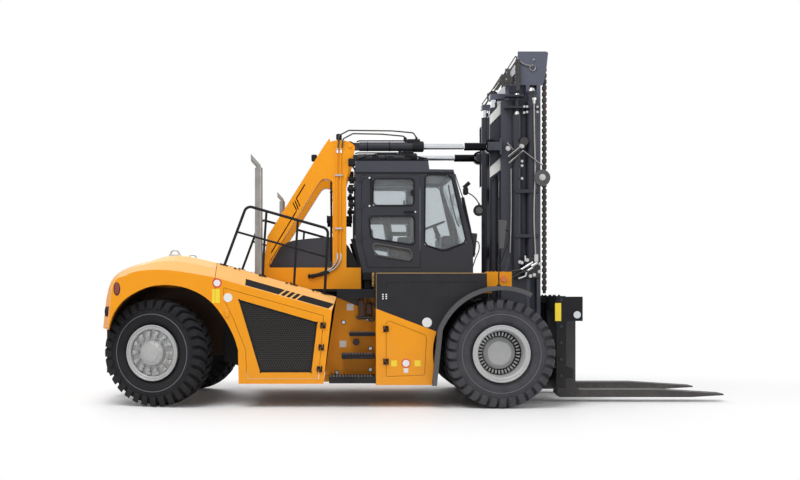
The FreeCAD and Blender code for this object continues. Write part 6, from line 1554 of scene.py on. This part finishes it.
pipe(stalk, [(1.245, -1.50, 1.80), (1.25, -1.50, 2.05), (1.32, -1.515, 2.30), (1.40, -1.52, 2.55),
             (1.36, -1.51, 2.64), (1.30, -1.50, 2.62)], 0.010)
bar(stalk, (1.245, -1.50, 1.795), (1.245, -1.50, 1.83), 0.03, sides=20)
both_sides("fender_mirror_stalks", stalk, black_paint)
made_here()

# %% [markdown]
# The tilt cylinders: a cover over each eye, a thin pipe along the barrel and a gland block with two
# unions at the rod end. They ride the barrels. The bands round the barrel are hollow sleeves, since
# the rod slides through the middle of them.

# %% Tilt cylinder dressing
BARREL_BORE = 0.062
BARREL_Y, BARREL_Z = -0.64, 4.02
barrel_trim = bmesh.new()
bar(barrel_trim, (-0.969, -0.60, BARREL_Z), (-0.969, -0.70, BARREL_Z), 0.077, sides=40)
pipe(barrel_trim, [(-0.86, BARREL_Y, 4.098), (-0.82, BARREL_Y, 4.112), (-0.12, BARREL_Y, 4.112),
                   (-0.08, BARREL_Y, 4.10)], 0.011, False)
for x, width, radius in ((0.02, 0.17, 0.086), (-0.70, 0.02, 0.075), (-0.35, 0.02, 0.075)):
    sleeve = bmesh.new()
    turned(sleeve, [(BARREL_BORE, 0), (radius - 0.004, 0), (radius, 0.004), (radius, width - 0.004),
                    (radius - 0.004, width), (BARREL_BORE, width)], steps=40, closed=True)
    moved(sleeve, Matrix.Translation((x, BARREL_Y, BARREL_Z)) @ Matrix.Rotation(math.radians(-90), 4, "Z"))
    joined_in(barrel_trim, sleeve)
block(barrel_trim, (-0.06, -0.69, 4.075), (0.14, -0.59, 4.135), 0.008)
bar(barrel_trim, (-0.10, BARREL_Y, 4.10), (-0.10, BARREL_Y, 4.16), 0.022, sides=6)
bar(barrel_trim, (0.085, BARREL_Y, 4.12), (0.085, BARREL_Y, 4.17), 0.022, sides=6)
both_sides("tilt_barrel_trim", barrel_trim, black_paint, "tilt_barrels")
made_here()

# %% [markdown]
# Groups of four small bolts hold the walkway down. Each group is set where a line dropped onto the
# panel meets it and stands out along the panel's own slope there.

# %% Walkway bolts
GROUP_HALF_LENGTH, GROUP_HALF_WIDTH = 0.03, 0.035
feet = bmesh.new()
for x in (-2.675, -2.30, -1.90, -1.50, -1.33):
    found = skin_at("side_panels", (x, -1.33, 3.0), (0, 0, -1))
    if found:
        place, normal = found
        for dx in (-GROUP_HALF_LENGTH, GROUP_HALF_LENGTH):
            for dy in (-GROUP_HALF_WIDTH, GROUP_HALF_WIDTH):
                hex_bolt(feet, place + Vector((dx, dy, 0.0)), normal, 0.012)
both_sides("walkway_bolts", feet, black_paint)
made_here()

# %% [markdown]
# The floor is plain and pale. Near the truck it is lit and takes the shadow; further out it mixes
# into plain white, so that to the camera it has no horizon. Only camera, glossy and transmission
# rays see that white, so the light on the truck stays as it is.

# %% Floor finish
FADE_START, FADE_END = 1.9, 5.5
floor_paint = bpy.data.materials.new("floor_paint")
floor_paint.use_nodes = True
tree = floor_paint.node_tree
floor_shader = tree.nodes["Principled BSDF"]
floor_shader.inputs["Base Color"].default_value = (0.93, 0.93, 0.94, 1)
floor_shader.inputs["Roughness"].default_value = 0.6
rays = tree.nodes.new("ShaderNodeLightPath")
seen = math_node(tree, "MAXIMUM", rays.outputs["Is Camera Ray"], rays.outputs["Is Glossy Ray"])
seen = math_node(tree, "MAXIMUM", seen, rays.outputs["Is Transmission Ray"])
place = tree.nodes.new("ShaderNodeNewGeometry")
spread = tree.nodes.new("ShaderNodeVectorMath")
spread.operation = "MULTIPLY"
spread.inputs[1].default_value = (0.5, 1, 0)
tree.links.new(place.outputs["Position"], spread.inputs[0])
reach = tree.nodes.new("ShaderNodeVectorMath")
reach.operation = "LENGTH"
tree.links.new(spread.outputs["Vector"], reach.inputs[0])
fade = tree.nodes.new("ShaderNodeMapRange")
fade.interpolation_type = "SMOOTHSTEP"
fade.inputs["From Min"].default_value = FADE_START
fade.inputs["From Max"].default_value = FADE_END
tree.links.new(reach.outputs["Value"], fade.inputs["Value"])
share = math_node(tree, "MULTIPLY", seen, fade.outputs["Result"])
white_light = tree.nodes.new("ShaderNodeEmission")
white_light.inputs["Color"].default_value = (1, 1, 1, 1)
white_light.inputs["Strength"].default_value = 1.0
blend = tree.nodes.new("ShaderNodeMixShader")
tree.links.new(share, blend.inputs["Fac"])
tree.links.new(floor_shader.outputs["BSDF"], blend.inputs[1])
tree.links.new(white_light.outputs["Emission"], blend.inputs[2])
tree.links.new(blend.outputs["Shader"], tree.nodes["Material Output"].inputs["Surface"])
floor.data.materials.append(floor_paint)
print("floor fades to white from", FADE_START, "to", FADE_END, "m")
